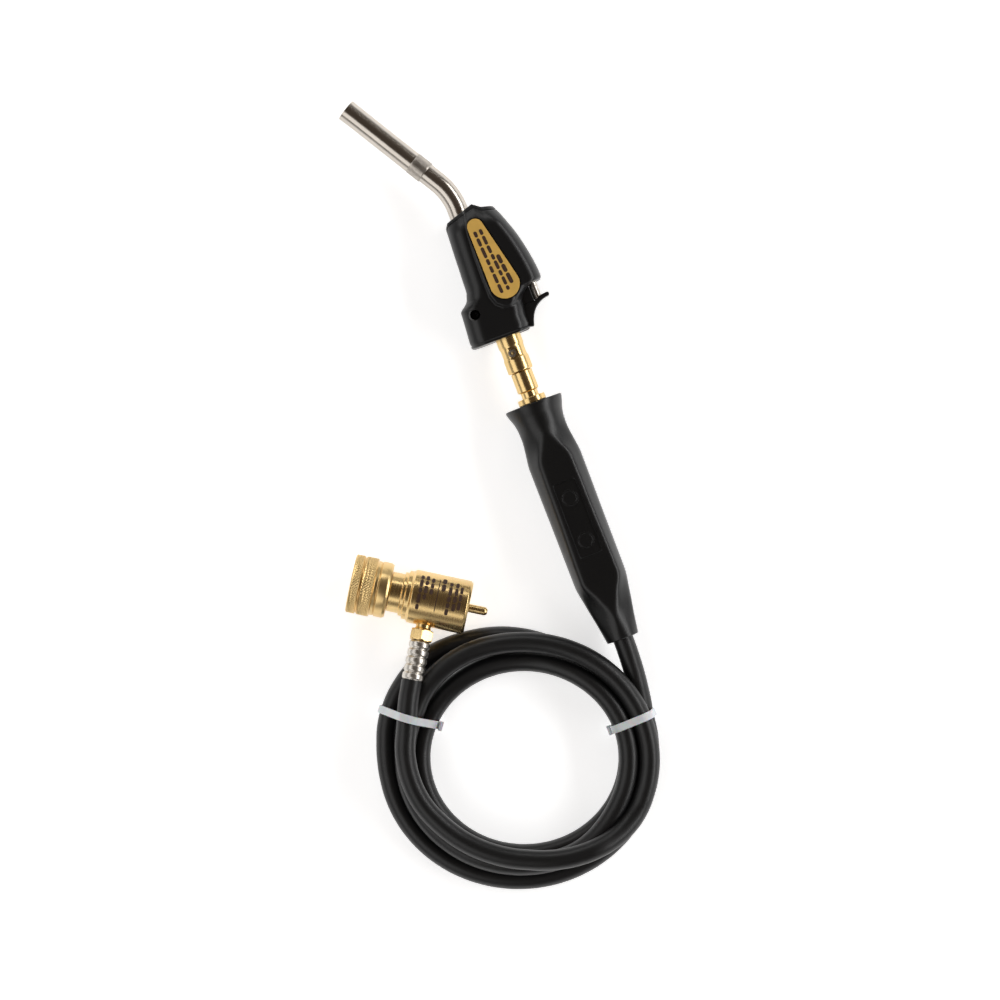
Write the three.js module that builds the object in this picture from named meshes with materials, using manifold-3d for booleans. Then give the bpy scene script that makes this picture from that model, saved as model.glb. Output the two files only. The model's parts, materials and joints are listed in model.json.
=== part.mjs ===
// Hose torch: a trigger-start head on a swivel, a grip, a coiled gas hose and a cylinder regulator.
// Millimetres, +Z up. The torch lies flat: +Y runs from the grip to the nozzle, +X to the trigger's side.
import * as THREE from "three";
import { mergeVertices } from "three/addons/utils/BufferGeometryUtils.js";
import Module from "manifold-3d";

const wasm = await Module();
wasm.setup();

// ---------- driving dimensions ----------
const GAP = 0.3; // between neighbours that touch or nearly touch
const TORCH_Z = 16.7; // height of the torch's own axis over the ground
const WALL = 1.9; // casing wall

const CASING_HALF = 16.7; // half thickness of the head casing
const CASING_ROUND = 8; // radius of the casing's long edges
// Outline of the head casing: place along the torch, left side, right side.
const CASING_STATIONS = [
  [39.6, -20.2, 13.0],
  [41.0, -21.4, 14.0],
  [52.6, -20.5, 14.4],
  [57.3, -20.2, 14.9],
  [59.9, -20.0, 17.9],
  [61.1, -19.9, 20.0],
  [62.8, -17.9, 22.6],
  [63.4, -17.2, 28.0],
  [65.0, -15.3, 29.3],
  [71.6, -12.9, 29.1],
  [80.0, -12.5, 27.8],
  [91.3, -11.9, 25.3],
  [107.5, -11.1, 19.6],
  [118.0, -10.5, 15.8],
];
const CASING_TOP = [
  [-16, 108.2],
  [-11, 108.2],
  [-9.2, 110.7],
  [7.2, 115.6],
  [11.5, 112.3],
  [18.2, 110.8],
  [30, 108.5],
  [30, 125],
  [-16, 125],
];
const SCREWS = [
  { name: "casing_screw_front", x: -12.8, y: 57.1, side: 1 },
  { name: "casing_screw_back_lower", x: 10.1, y: 84, side: -1 },
  { name: "casing_screw_back_upper", x: 12.2, y: 102.2, side: -1 },
];
const BOSS_R = 3.5;
const LABEL_SMALL = { x: 4.6, y: 102.8, r: 4.9 };
const LABEL_LARGE = { x: 8.7, y: 67.5, r: 8.8 };
const LABEL_THICK = 0.7;

const TUBE_X = -0.9; // the burner tube's own axis
const TUBE_R = 5.9;
const TUBE_BORE = 4.9;
const TUBE_START = 92;
const BEND_CORNER = 126.1;
const BEND_ANGLE = THREE.MathUtils.degToRad(30.8);
const BEND_RADIUS = 36;
const FLAME_TUBE = { from: 18.4, band: 9.3, length: 56.9, r: 6.25, bandR: 6.55, bore: 5.65 };

const TRIGGER_HALF = 6; // half width of the trigger
const ROD_X = 23.5; // push rod
const ROD_R = 2.4;
const GUIDE = { from: 16, to: 21, top: 61.5, half: 5.4 }; // block that steers the trigger in the casing
const STEM_X = 9.6; // valve stem
const PIEZO = { x: 19, from: 76, to: 92, half: 3.8, bore: 2.7 };

const GRIP_LENGTH = 141;
// The grip: place, half width, half height, half width of its flat top, share of facets in its section.
const GRIP_STATIONS = [
  [0, 16.7, 16.7, 6, 0],
  [-1.5, 16.7, 16.7, 6, 0],
  [-8, 14.4, 14.4, 4, 0],
  [-14, 13.6, 13.6, 1, 0.15],
  [-18, 13.5, 13.4, 2.2, 0.45],
  [-23, 13.9, 13.4, 4.6, 0.8],
  [-35, 15.4, 13.6, 9.3, 1],
  [-70, 15.2, 13.6, 10.1, 1],
  [-104, 15.1, 13.4, 11, 1],
  [-116.5, 13.3, 12.4, 5.6, 1],
  [-130, 10.9, 10.9, 1, 0.5],
  [-141, 9.2, 9.2, 2, 0],
];
const RECESS = { half: 6.8, from: -47, to: -91, depth: 0.8 };
const PADS = [-57, -82];

const HOSE_R = 5.8;
const HOSE_START = -118;
const COIL_TILT = THREE.MathUtils.degToRad(-20.9);
const COIL_OUTER = { x: -78.6, y: -183.4, a: 79.1, b: 73.9 };
const COIL_INNER = { x: -75.5, y: -184.3, a: 52.8, b: 48.6 };
const COIL_BOTTOM = 1.7;
const COIL_TOP = 24.9;
const HANDLE_TAIL = [
  [0, HOSE_START, 16.7],
  [0, -130, 16.7],
  [0, -141, 16.7],
  [-0.2, -150, 16.2],
  [-0.7, -159, 14.8],
  [-1.6, -168, 13],
  [-2.8, -177, 10.9],
];
const REGULATOR_TAIL_END = [-124.8, -131.4, 24.4];
const TIES = [
  { name: "cable_tie_right", x: -11.7, y: -185.1, angle: -1.1, width: 23.4 },
  { name: "cable_tie_left", x: -126.6, y: -138.5, angle: 137.6, width: 33.2 },
];
const TIE_WIDTH = 4.4;
const TIE_THICK = 1.2;

const REGULATOR = { x: -131.2, y: -57.7, z: 16.7 };
const REGULATOR_TURN = Math.atan2(-0.839, -0.543);
const OUTLET_S = 44.8; // outlet's place along the regulator
const OUTLET_TILT = THREE.MathUtils.degToRad(7); // the outlet points a little upward, over the coil
const FERRULE = { from: 24, to: 46.4, r: 6 };

// ---------- materials ----------
function finish(color, roughness, metalness) {
  return new THREE.MeshStandardMaterial({ color, roughness, metalness });
}
const BLACK = finish(0x141414, 0.45, 0);
const GRIP_BLACK = finish(0x171717, 0.6, 0);
const HOSE_BLACK = finish(0x101011, 0.65, 0);
const BRASS = finish(0xc9a14e, 0.28, 1);
const STEEL = finish(0xb7afa5, 0.25, 1);
const NICKEL = finish(0xd8d0c6, 0.25, 1);
const GOLD_LABEL = finish(0xb8974e, 0.45, 0.3);
const NYLON = finish(0xe4e6e8, 0.5, 0);
const SEAL = finish(0x202020, 0.8, 0);
const CERAMIC = finish(0xeeeae0, 0.6, 0);
const WIRE_RED = finish(0x9c2a22, 0.6, 0);

// ---------- making solids ----------
function solid(geometry) {
  const bare = geometry.clone();
  for (const name of Object.keys(bare.attributes)) {
    if (name !== "position") bare.deleteAttribute(name);
  }
  const merged = mergeVertices(bare, 1e-4);
  const kept = [];
  const index = merged.index.array;
  for (let i = 0; i < index.length; i += 3) {
    const [a, b, c] = [index[i], index[i + 1], index[i + 2]];
    if (a !== b && b !== c && c !== a) kept.push(a, b, c);
  }
  const vertProperties = merged.attributes.position.array;
  const make = (list) =>
    new wasm.Manifold(new wasm.Mesh({ numProp: 3, vertProperties, triVerts: new Uint32Array(list) }));
  const made = make(kept);
  if (made.volume() >= 0) return made;
  for (let i = 0; i < kept.length; i += 3) [kept[i + 1], kept[i + 2]] = [kept[i + 2], kept[i + 1]];
  return make(kept);
}

function geometryOf(body) {
  const mesh = body.getMesh();
  const geometry = new THREE.BufferGeometry();
  geometry.setAttribute("position", new THREE.BufferAttribute(mesh.vertProperties, 3));
  geometry.setIndex(new THREE.BufferAttribute(mesh.triVerts, 1));
  geometry.computeVertexNormals();
  return geometry;
}

function piece(name, shape, material) {
  const body = shape.isBufferGeometry ? solid(shape) : shape;
  const mesh = new THREE.Mesh(geometryOf(body), material);
  mesh.name = name;
  return mesh;
}

// A turned solid round the Y axis. A profile that doesn't start on the axis closes on itself.
function turned(profile, sides = 24) {
  const points = profile.map(([r, y]) => new THREE.Vector2(r, y));
  if (points[0].x > 0) points.push(points[0].clone());
  return new THREE.LatheGeometry(points, sides);
}

function rod(r, from, to, sides = 20) {
  return turned([[0, from], [r, from], [r, to], [0, to]], sides);
}

function ring(outer, inner, from, to, sides = 24) {
  return turned([[outer, from], [outer, to], [inner, to], [inner, from]], sides);
}

function oRing(major, minor, y, sides = 18) {
  const profile = [];
  for (let i = 0; i < 6; i += 1) {
    const a = (i / 6) * Math.PI * 2;
    profile.push([major + minor * Math.cos(a), y + minor * Math.sin(a)]);
  }
  return turned(profile, sides);
}

function box(x0, x1, y0, y1, z0, z1) {
  const made = new THREE.BoxGeometry(x1 - x0, y1 - y0, z1 - z0);
  return made.translate((x0 + x1) / 2, (y0 + y1) / 2, (z0 + z1) / 2);
}

// A flat outline in X and Y given a thickness along Z.
function plate(outline, z0, z1, round = 0) {
  const points = Array.isArray(outline) ? outline.map(([x, y]) => new THREE.Vector2(x, y)) : null;
  const shape = points ? new THREE.Shape(points) : outline;
  const options = {
    depth: z1 - z0 - 2 * round,
    bevelEnabled: round > 0,
    bevelThickness: round,
    bevelSize: round,
    bevelOffset: -round,
    bevelSegments: 2,
    curveSegments: 12,
  };
  return new THREE.ExtrudeGeometry(shape, options).translate(0, 0, z0 + round);
}

// A solid through rings of points that all have the same count.
function loft(rings) {
  const n = rings[0].length;
  const positions = [];
  const put = (...points) => points.forEach((p) => positions.push(p.x, p.y, p.z));
  for (let i = 0; i + 1 < rings.length; i += 1) {
    for (let j = 0; j < n; j += 1) {
      const k = (j + 1) % n;
      put(rings[i][j], rings[i + 1][j], rings[i + 1][k]);
      put(rings[i][j], rings[i + 1][k], rings[i][k]);
    }
  }
  const middle = (points) => points.reduce((sum, p) => sum.add(p), new THREE.Vector3()).divideScalar(n);
  const [first, last] = [rings[0], rings[rings.length - 1]];
  const [start, end] = [middle(first), middle(last)];
  for (let j = 0; j < n; j += 1) {
    const k = (j + 1) % n;
    put(start, first[j], first[k]);
    put(end, last[k], last[j]);
  }
  const made = new THREE.BufferGeometry();
  made.setAttribute("position", new THREE.Float32BufferAttribute(positions, 3));
  return made;
}

// A round bar or tube along a list of points.
function along(points, r, sides, steps, bore = 0, straight = false) {
  const section = new THREE.Shape();
  const circle = (path, radius) => {
    for (let i = 0; i <= sides; i += 1) {
      const a = (i / sides) * Math.PI * 2;
      const [x, y] = [radius * Math.cos(a), radius * Math.sin(a)];
      if (i === 0) path.moveTo(x, y);
      else path.lineTo(x, y);
    }
    return path;
  };
  circle(section, r);
  if (bore > 0) section.holes.push(circle(new THREE.Path(), bore));
  const list = points.map((p) => (p.isVector3 ? p : new THREE.Vector3(...p)));
  const path = straight ? new THREE.LineCurve3(list[0], list[1]) : new THREE.CatmullRomCurve3(list);
  return new THREE.ExtrudeGeometry(section, { steps, extrudePath: path, curveSegments: sides });
}

function coilSpring(r, wire, from, to, turns, sides = 5) {
  const points = [];
  const count = turns * 8;
  for (let i = 0; i <= count; i += 1) {
    const a = (i / 8) * Math.PI * 2;
    points.push(new THREE.Vector3(r * Math.cos(a), from + ((to - from) * i) / count, r * Math.sin(a)));
  }
  return along(points, wire, sides, count);
}

function onAxis(mesh, x = 0) {
  mesh.position.set(x, 0, TORCH_Z);
  return mesh;
}

// ---------- head ----------
// One ring of the casing: a rectangle with rounded long edges, at one place along the torch.
function casingRing(y, left, right, half, round) {
  const points = [];
  const corners = [
    [right - round, half - round, 0],
    [left + round, half - round, 90],
    [left + round, round - half, 180],
    [right - round, round - half, 270],
  ];
  for (const [x, z, start] of corners) {
    for (let i = 0; i <= 3; i += 1) {
      const a = THREE.MathUtils.degToRad(start + (i / 3) * 90);
      points.push(new THREE.Vector3(x + round * Math.cos(a), y, z + round * Math.sin(a)));
    }
  }
  return points;
}

function casingOuter() {
  const first = CASING_STATIONS[0];
  const rings = CASING_STATIONS.map(([y, left, right]) => {
    const half = y === first[0] ? CASING_HALF - 1 : y > 108 ? CASING_HALF - 4 : CASING_HALF;
    return casingRing(y, left, right, half, CASING_ROUND);
  });
  return solid(loft(rings)).subtract(solid(plate(CASING_TOP, -20, 20)));
}

function casingCavity() {
  const rings = CASING_STATIONS.filter(([y]) => y > 40 && y < 108).map(([y, left, right]) => {
    const place = y < 42 ? y + 1 : y;
    return casingRing(place, left + WALL, right - WALL, CASING_HALF - WALL, CASING_ROUND - WALL);
  });
  return solid(loft(rings));
}

function labelShape(margin) {
  const turn = Math.atan2(LABEL_LARGE.y - LABEL_SMALL.y, LABEL_LARGE.x - LABEL_SMALL.x);
  const span = Math.hypot(LABEL_LARGE.x - LABEL_SMALL.x, LABEL_LARGE.y - LABEL_SMALL.y);
  const lean = Math.acos((LABEL_SMALL.r - LABEL_LARGE.r) / span);
  const shape = new THREE.Shape();
  shape.absarc(LABEL_LARGE.x, LABEL_LARGE.y, LABEL_LARGE.r + margin, turn - lean, turn + lean, false);
  shape.absarc(LABEL_SMALL.x, LABEL_SMALL.y, LABEL_SMALL.r + margin, turn + lean, turn - lean + Math.PI * 2, false);
  shape.closePath();
  return shape;
}

function screwPost(screw, r, z0, z1, sides = 16) {
  const made = rod(r, z0, z1, sides).rotateX(Math.PI / 2);
  return solid(made.scale(1, 1, screw.side).translate(screw.x, screw.y, 0));
}

function casingShells() {
  let body = casingOuter().subtract(casingCavity());
  for (const screw of SCREWS) {
    const post = screwPost(screw, BOSS_R, -CASING_HALF + 1, CASING_HALF - 1);
    body = body.add(post);
  }
  const cuts = [
    solid(rod(7.7, 30, 50, 28)),
    solid(rod(TUBE_R + GAP, 96, 130, 28).translate(TUBE_X, 0, 0)),
    solid(box(7, 40, 30, 60.2, -TRIGGER_HALF - 0.4, TRIGGER_HALF + 0.4)),
    solid(box(GUIDE.from - 2 * GAP, GUIDE.to + GAP, 50, 69, -GUIDE.half - GAP, GUIDE.half + GAP)),
    solid(rod(ROD_R + 0.4, 55, 68, 16).translate(ROD_X, 0, 0)),
    solid(plate(labelShape(GAP), CASING_HALF - LABEL_THICK - 2 * GAP, CASING_HALF + 5)),
  ];
  for (const screw of SCREWS) {
    cuts.push(screwPost(screw, 2.8, 7, 25));
    cuts.push(screwPost(screw, 1.5, -10, 10));
  }
  for (const cut of cuts) body = body.subtract(cut);
  const front = body.subtract(solid(box(-40, 60, 0, 150, -40, GAP / 2)));
  const back = body.subtract(solid(box(-40, 60, 0, 150, -GAP / 2, 40)));
  return [
    onAxis(piece("casing_front", front, BLACK)),
    onAxis(piece("casing_back", back, BLACK)),
  ];
}

function casingScrew(screw) {
  const head = screwPost(screw, 2.4, 7 + GAP, 9.6);
  const shank = screwPost(screw, 1.2, -8.5, 7.5, 10);
  const slot = solid(box(-3, 3, -0.35, 0.35, 8.8, 11).scale(1, 1, screw.side).translate(screw.x, screw.y, 0));
  return onAxis(piece(screw.name, head.add(shank).subtract(slot), STEEL));
}

function labelPlate() {
  const top = CASING_HALF - GAP;
  return onAxis(piece("label_plate", plate(labelShape(0), top - LABEL_THICK, top), GOLD_LABEL));
}

function swivelSleeve() {
  const profile = [
    [7.0, 19.0], [7.3, 19.5], [7.3, 27.2], [6.9, 28], [6.9, 33], [7.3, 33.8], [7.3, 52], [5.6, 52], [5.6, 19.0],
  ];
  const hole = solid(rod(2.5, 0, 12, 16).rotateX(Math.PI / 2).translate(TUBE_X, 30, 0));
  const sink = solid(rod(3.9, 6.3, 12, 20).rotateX(Math.PI / 2).translate(TUBE_X, 30, 0));
  return onAxis(piece("swivel_sleeve", solid(turned(profile)).subtract(hole).subtract(sink), BRASS));
}

function setScrew() {
  const screw = solid(rod(2.2, 4.6, 6.1, 16));
  const socket = solid(rod(0.9, 5.4, 7, 6));
  const made = geometryOf(screw.subtract(socket)).rotateX(Math.PI / 2).translate(TUBE_X, 30, 0);
  return onAxis(piece("swivel_set_screw", made, STEEL));
}

function valveBody() {
  const main = solid(turned([[0, 52.4], [6.4, 52.4], [6.4, 66], [7.4, 66], [7.4, 76], [0, 76]]));
  const boss = solid(rod(3.4, 66, 76, 16).translate(STEM_X, 0, 0));
  const stemBore = solid(rod(1.8, 60, 75, 12).translate(STEM_X, 0, 0));
  const bore = solid(rod(2.2, 50, 71, 12));
  const jetSeat = solid(rod(3.3, 72, 80, 16));
  const link = solid(rod(1.0, 70, 74, 8));
  const cross = solid(rod(0.9, 0, STEM_X, 8).rotateZ(-Math.PI / 2).translate(0, 70, 0));
  let made = main.add(boss);
  for (const cut of [stemBore, bore, jetSeat, link, cross]) made = made.subtract(cut);
  return onAxis(piece("valve_body", made, BRASS));
}

function mixerTube() {
  const profile = [[4.4, 79.8], [4.4, 91.6], [3.4, 91.6], [2.6, 86], [3.6, 81], [3.6, 79.8]];
  let made = solid(turned(profile, 16)).add(solid(ring(5.4, 3.7, 76.8, 80.2, 16)));
  for (const turn of [0, 60, 120]) {
    const hole = rod(0.9, -9, 9, 6).rotateX(Math.PI / 2).rotateY(THREE.MathUtils.degToRad(turn));
    made = made.subtract(solid(hole.translate(0, 83, 0)));
  }
  return onAxis(piece("mixer_tube", made, BRASS));
}

// A point on the burner tube's centreline, measured along it from the corner of its bend.
function afterCorner(distance) {
  const x = TUBE_X - Math.sin(BEND_ANGLE) * distance;
  return new THREE.Vector3(x, BEND_CORNER + Math.cos(BEND_ANGLE) * distance, 0);
}

function tubeLine(from, to) {
  const tangent = BEND_RADIUS * Math.tan(BEND_ANGLE / 2);
  const points = [new THREE.Vector3(TUBE_X, from, 0)];
  const straight = BEND_CORNER - tangent;
  points.push(new THREE.Vector3(TUBE_X, (from + straight) / 2, 0));
  for (let i = 0; i <= 5; i += 1) {
    const a = (i / 5) * BEND_ANGLE;
    const x = TUBE_X - BEND_RADIUS * (1 - Math.cos(a));
    points.push(new THREE.Vector3(x, straight + BEND_RADIUS * Math.sin(a), 0));
  }
  points.push(afterCorner((tangent + to) / 2), afterCorner(to));
  return points;
}

function burner() {
  const inside = FLAME_TUBE.from + FLAME_TUBE.band - 0.4;
  const wireHole = solid(rod(1.4, 0, 10, 8).rotateZ(-Math.PI / 2).translate(TUBE_X, 97, 0));
  const bent = solid(along(tubeLine(TUBE_START, inside), TUBE_R, 18, 14, TUBE_BORE)).subtract(wireHole);
  const flame = turned([
    [FLAME_TUBE.bandR, 0], [FLAME_TUBE.bandR, FLAME_TUBE.band], [FLAME_TUBE.r, FLAME_TUBE.band + 0.6],
    [FLAME_TUBE.r, FLAME_TUBE.length - 8], [FLAME_TUBE.r + 0.2, FLAME_TUBE.length],
    [FLAME_TUBE.bore + 0.1, FLAME_TUBE.length], [FLAME_TUBE.bore, FLAME_TUBE.length - 8],
    [FLAME_TUBE.bore, FLAME_TUBE.band - 0.1], [TUBE_R + GAP, FLAME_TUBE.band - 0.1], [TUBE_R + GAP, 0],
  ], 32);
  const holderAt = FLAME_TUBE.length - 25;
  const holder = new THREE.Shape().absarc(0, 0, FLAME_TUBE.bore - GAP, 0, Math.PI * 2, false);
  holder.holes.push(new THREE.Path().absarc(0, 0, 2, 0, Math.PI * 2, true));
  for (let i = 0; i < 6; i += 1) {
    const a = (i / 6) * Math.PI * 2;
    holder.holes.push(new THREE.Path().absarc(3.7 * Math.cos(a), 3.7 * Math.sin(a), 0.9, 0, Math.PI * 2, true));
  }
  const disc = new THREE.ExtrudeGeometry(holder, { depth: 3, bevelEnabled: false, curveSegments: 8 });
  const onTube = (mesh) => {
    mesh.position.copy(afterCorner(FLAME_TUBE.from)).setZ(TORCH_Z);
    mesh.rotation.z = BEND_ANGLE;
    return mesh;
  };
  const tip = FLAME_TUBE.from + FLAME_TUBE.length;
  return [
    onAxis(piece("bent_tube", bent, STEEL)),
    onTube(piece("flame_tube", flame, STEEL)),
    onTube(piece("flame_holder", disc.rotateX(-Math.PI / 2).translate(0, holderAt, 0), STEEL)),
    onAxis(piece("spark_electrode", along(tubeLine(98, tip - 10), 0.55, 5, 14), STEEL)),
    onAxis(piece("electrode_insulator", along(tubeLine(100, tip - 18), 1.7, 8, 14, 0.9), CERAMIC)),
  ];
}

function ignition() {
  const { x, from, to, half, bore } = PIEZO;
  const shell = solid(box(x - half, x + half, from, to, -half, half));
  const well = solid(box(x - bore, x + bore, from - 1, to - 1.5, -bore, bore));
  const lead = along([[x - 1, to + GAP, 0], [x - 1.6, 95.2, 0], [13, 97, 0], [6, 97, 0], [0.4, 97.1, 0]], 0.8, 6, 14);
  return [
    onAxis(piece("piezo_case", shell.subtract(well), finish(0x7d2f24, 0.5, 0))),
    onAxis(piece("ignition_lead", lead, WIRE_RED)),
  ];
}

function trigger() {
  const shape = new THREE.Shape();
  shape.moveTo(8.5, 41.8);
  shape.lineTo(16.0, 39.9);
  shape.bezierCurveTo(17.6, 46.5, 21.2, 52.4, 29.3, 53.1);
  shape.bezierCurveTo(30.4, 53.3, 30.4, 55.2, 29.2, 55.3);
  shape.lineTo(25.9, 55.0);
  shape.lineTo(21.2, 53.2);
  shape.lineTo(8.5, 53.2);
  shape.closePath();
  const socket = solid(rod(ROD_R + GAP, 53.4, 62, 16).translate(ROD_X, 0, 0));
  const guide = solid(box(GUIDE.from, GUIDE.to, 50, GUIDE.top, -GUIDE.half, GUIDE.half));
  const blade = solid(plate(shape, -TRIGGER_HALF, TRIGGER_HALF, 0.5)).add(guide).subtract(socket);
  const { x, bore } = PIEZO;
  const push = solid(rod(ROD_R, 53.7, 68, 16).translate(ROD_X, 0, 0));
  const foot = solid(box(x - 2.5, ROD_X + ROD_R, 67, 69.2, -3.4, 3.4));
  const plunger = box(x - bore + GAP, x + bore - GAP, 69.5, 82, -bore + GAP, bore - GAP);
  return [
    onAxis(piece("trigger", blade, BLACK)),
    onAxis(piece("trigger_push_rod", push.add(foot), NICKEL)),
    onAxis(piece("piezo_plunger", plunger, NYLON)),
    onAxis(piece("valve_stem", rod(1.4, 53.5, 68, 12), BRASS), STEM_X),
    onAxis(piece("trigger_spring", coilSpring(2.25, 0.35, 54.1, 65.3, 5, 4), STEEL), STEM_X),
  ];
}

function head() {
  return [
    ...casingShells(),
    ...SCREWS.map(casingScrew),
    labelPlate(),
    swivelSleeve(),
    setScrew(),
    valveBody(),
    onAxis(piece("valve_seal", ring(1.9, 0.7, 69, 70.6, 12), SEAL)),
    onAxis(piece("gas_jet", turned([[0.5, 72.4], [3.0, 72.4], [3.0, 76.4], [1.6, 79.4], [0.5, 79.4]], 16), BRASS)),
    mixerTube(),
    ...burner(),
    ...ignition(),
    ...trigger(),
  ];
}

// ---------- handle ----------
// One ring of the grip: facets with a flat top, blended with an oval.
function gripRing([y, wide, high, flat, facets], count = 28) {
  const side = high * 0.36;
  const slope = new THREE.Vector2(high - side, wide - flat).normalize();
  const reach = slope.x * wide + slope.y * side;
  const points = [];
  for (let i = 0; i < count; i += 1) {
    const a = (i / count) * Math.PI * 2;
    const [c, s] = [Math.abs(Math.cos(a)), Math.abs(Math.sin(a))];
    const faceted = Math.min(wide / (c + 1e-6), high / (s + 1e-6), reach / (slope.x * c + slope.y * s));
    const oval = 1 / Math.hypot(c / wide, s / high);
    const r = THREE.MathUtils.lerp(oval, faceted, facets);
    points.push(new THREE.Vector3(r * Math.cos(a), y, r * Math.sin(a)));
  }
  return points;
}

function grip() {
  const outer = solid(loft(GRIP_STATIONS.map((station) => gripRing(station))));
  const bore = solid(turned([
    [0, 1], [5.3, 1], [5.3, -26], [7.5, -26], [7.5, -136.5], [6.1, -136.5], [6.1, -150], [0, -150],
  ]));
  const top = 13.6;
  const { half, from, to, depth } = RECESS;
  let made = outer.subtract(bore).subtract(solid(box(-half, half, to, from, top - depth, top + 9)));
  for (const y of PADS) {
    made = made.add(solid(rod(4.6, top - depth - 1, top - 0.2, 20).rotateX(Math.PI / 2).translate(0, y, 0)));
  }
  return onAxis(piece("grip", made, GRIP_BLACK));
}

function swivelBarrel() {
  const profile = [
    [1.8, 44], [5.2, 44], [5.2, 40.4], [4.2, 40.4], [4.2, 37.8], [5.2, 37.8], [5.2, 32.6], [4.2, 32.6],
    [4.2, 27.4], [5.2, 27.4], [5.2, 26.6], [4.2, 26.6], [4.2, 24], [5.2, 24], [5.2, 18.7], [6.2, 18.7],
    [6.2, 7.5], [4.9, 7], [4.9, -24], [1.8, -24],
  ];
  return onAxis(piece("swivel_barrel", turned(profile, 18), BRASS));
}

function handle() {
  const gasTube = [
    [2.2, -24.4], [4.6, -24.4], [4.6, -60], [3.9, -60], [3.9, HOSE_START + GAP], [2.2, HOSE_START + GAP],
  ];
  return [
    grip(),
    swivelBarrel(),
    onAxis(piece("barrel_flange", ring(8, 5.2, GAP, 3.7), BRASS)),
    onAxis(piece("swivel_o_ring_upper", oRing(4.95, 0.6, 39.1), SEAL)),
    onAxis(piece("swivel_o_ring_lower", oRing(4.95, 0.6, 25.3), SEAL)),
    onAxis(piece("handle_gas_tube", turned(gasTube, 20), BRASS)),
    onAxis(piece("handle_hose_ferrule", ring(7.1, 6.15, -136, -119, 20), NICKEL)),
  ];
}

// ---------- hose ----------
function ellipse(path, { x, y, a, b }, margin) {
  return path.absellipse(x, y, a + margin, b + margin, 0, Math.PI * 2, false, COIL_TILT);
}

function outletPoint(distance, height = 0) {
  const u = new THREE.Vector3(-Math.sin(REGULATOR_TURN), Math.cos(REGULATOR_TURN), 0);
  const v = new THREE.Vector3(Math.cos(REGULATOR_TURN), Math.sin(REGULATOR_TURN), 0);
  const start = new THREE.Vector3(REGULATOR.x, REGULATOR.y, REGULATOR.z).addScaledVector(u, OUTLET_S);
  start.addScaledVector(v, distance * Math.cos(OUTLET_TILT));
  return start.setZ(start.z + distance * Math.sin(OUTLET_TILT) + height);
}

function regulatorTail(from, extra) {
  const end = new THREE.Vector3(...REGULATOR_TAIL_END);
  const start = outletPoint(from);
  return [start, start.clone().lerp(end, 0.5), end.clone().lerp(start, -extra)];
}

function hose() {
  const shape = ellipse(new THREE.Shape(), COIL_OUTER, -0.2);
  shape.holes.push(ellipse(new THREE.Path(), COIL_INNER, 0.2));
  const round = 4;
  const coil = new THREE.ExtrudeGeometry(shape, {
    depth: COIL_TOP - COIL_BOTTOM - 2 * round,
    bevelThickness: round,
    bevelSize: round,
    bevelOffset: -round,
    bevelSegments: 1,
    curveSegments: 24,
  }).translate(0, 0, COIL_BOTTOM + round);
  const handleEnd = new THREE.Vector3(...HANDLE_TAIL[HANDLE_TAIL.length - 1]);
  const past = handleEnd.clone().add(new THREE.Vector3(-0.1, -0.5, -0.1));
  const clear = HOSE_R + GAP;
  let ringBody = solid(coil);
  ringBody = ringBody.subtract(solid(along([...HANDLE_TAIL, past], clear + 0.1, 14, 24)));
  ringBody = ringBody.subtract(solid(along(regulatorTail(20, 0.04), clear + 0.5, 14, 4)));
  return [
    piece("hose_handle_tail", along(HANDLE_TAIL, HOSE_R, 12, 14), HOSE_BLACK),
    piece("hose_coil", ringBody, HOSE_BLACK),
    piece("hose_regulator_tail", along(regulatorTail(FERRULE.to + 2 * GAP, 0), HOSE_R, 12, 4), HOSE_BLACK),
  ];
}

function cableTie({ name, x, y, angle, width }) {
  const frame = (w, h) => [[-w / 2, 0], [w / 2, 0], [w / 2, h], [-w / 2, h]].map(([a, b]) => new THREE.Vector2(a, b));
  const margin = 2 * (TIE_THICK + 2 * GAP);
  const height = COIL_TOP + GAP + TIE_THICK;
  const shape = new THREE.Shape(frame(width + margin, height));
  const hole = frame(width + margin - 2 * TIE_THICK, height - 2 * TIE_THICK);
  shape.holes.push(new THREE.Path(hole.map((p) => new THREE.Vector2(p.x, p.y + TIE_THICK))));
  const band = new THREE.ExtrudeGeometry(shape, { depth: TIE_WIDTH, bevelEnabled: false });
  band.translate(0, 0, -TIE_WIDTH / 2).rotateX(Math.PI / 2);
  const mesh = piece(name, band, NYLON);
  mesh.position.set(x, y, 0);
  mesh.rotation.z = THREE.MathUtils.degToRad(angle);
  return mesh;
}

// ---------- regulator, round its own Y axis from the inlet's mouth ----------
function regulatorBody() {
  const outer = solid(turned([
    [0, 22.2], [11.3, 22.2], [11.3, 29], [12.5, 29], [12.5, 31], [14, 31], [14, 33.7], [15.2, 34.6],
    [15.2, 66], [13.8, 67.4], [0, 67.4],
  ], 32));
  const inside = solid(turned([
    [0, 20], [7.9, 20], [7.9, 34], [2, 34], [2, 50], [13.2, 50], [13.2, 70], [0, 70],
  ], 24));
  const outletHole = rod(3.9, 9, 20, 16).rotateZ(-Math.PI / 2).rotateY(-OUTLET_TILT);
  const passage = rod(1.2, 0, 12, 8).rotateZ(-Math.PI / 2).rotateY(-OUTLET_TILT);
  let made = outer.subtract(inside);
  made = made.subtract(solid(outletHole.translate(0, OUTLET_S, 0)));
  made = made.subtract(solid(passage.translate(0, OUTLET_S, 0)));
  return piece("regulator_body", made, BRASS);
}

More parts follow.
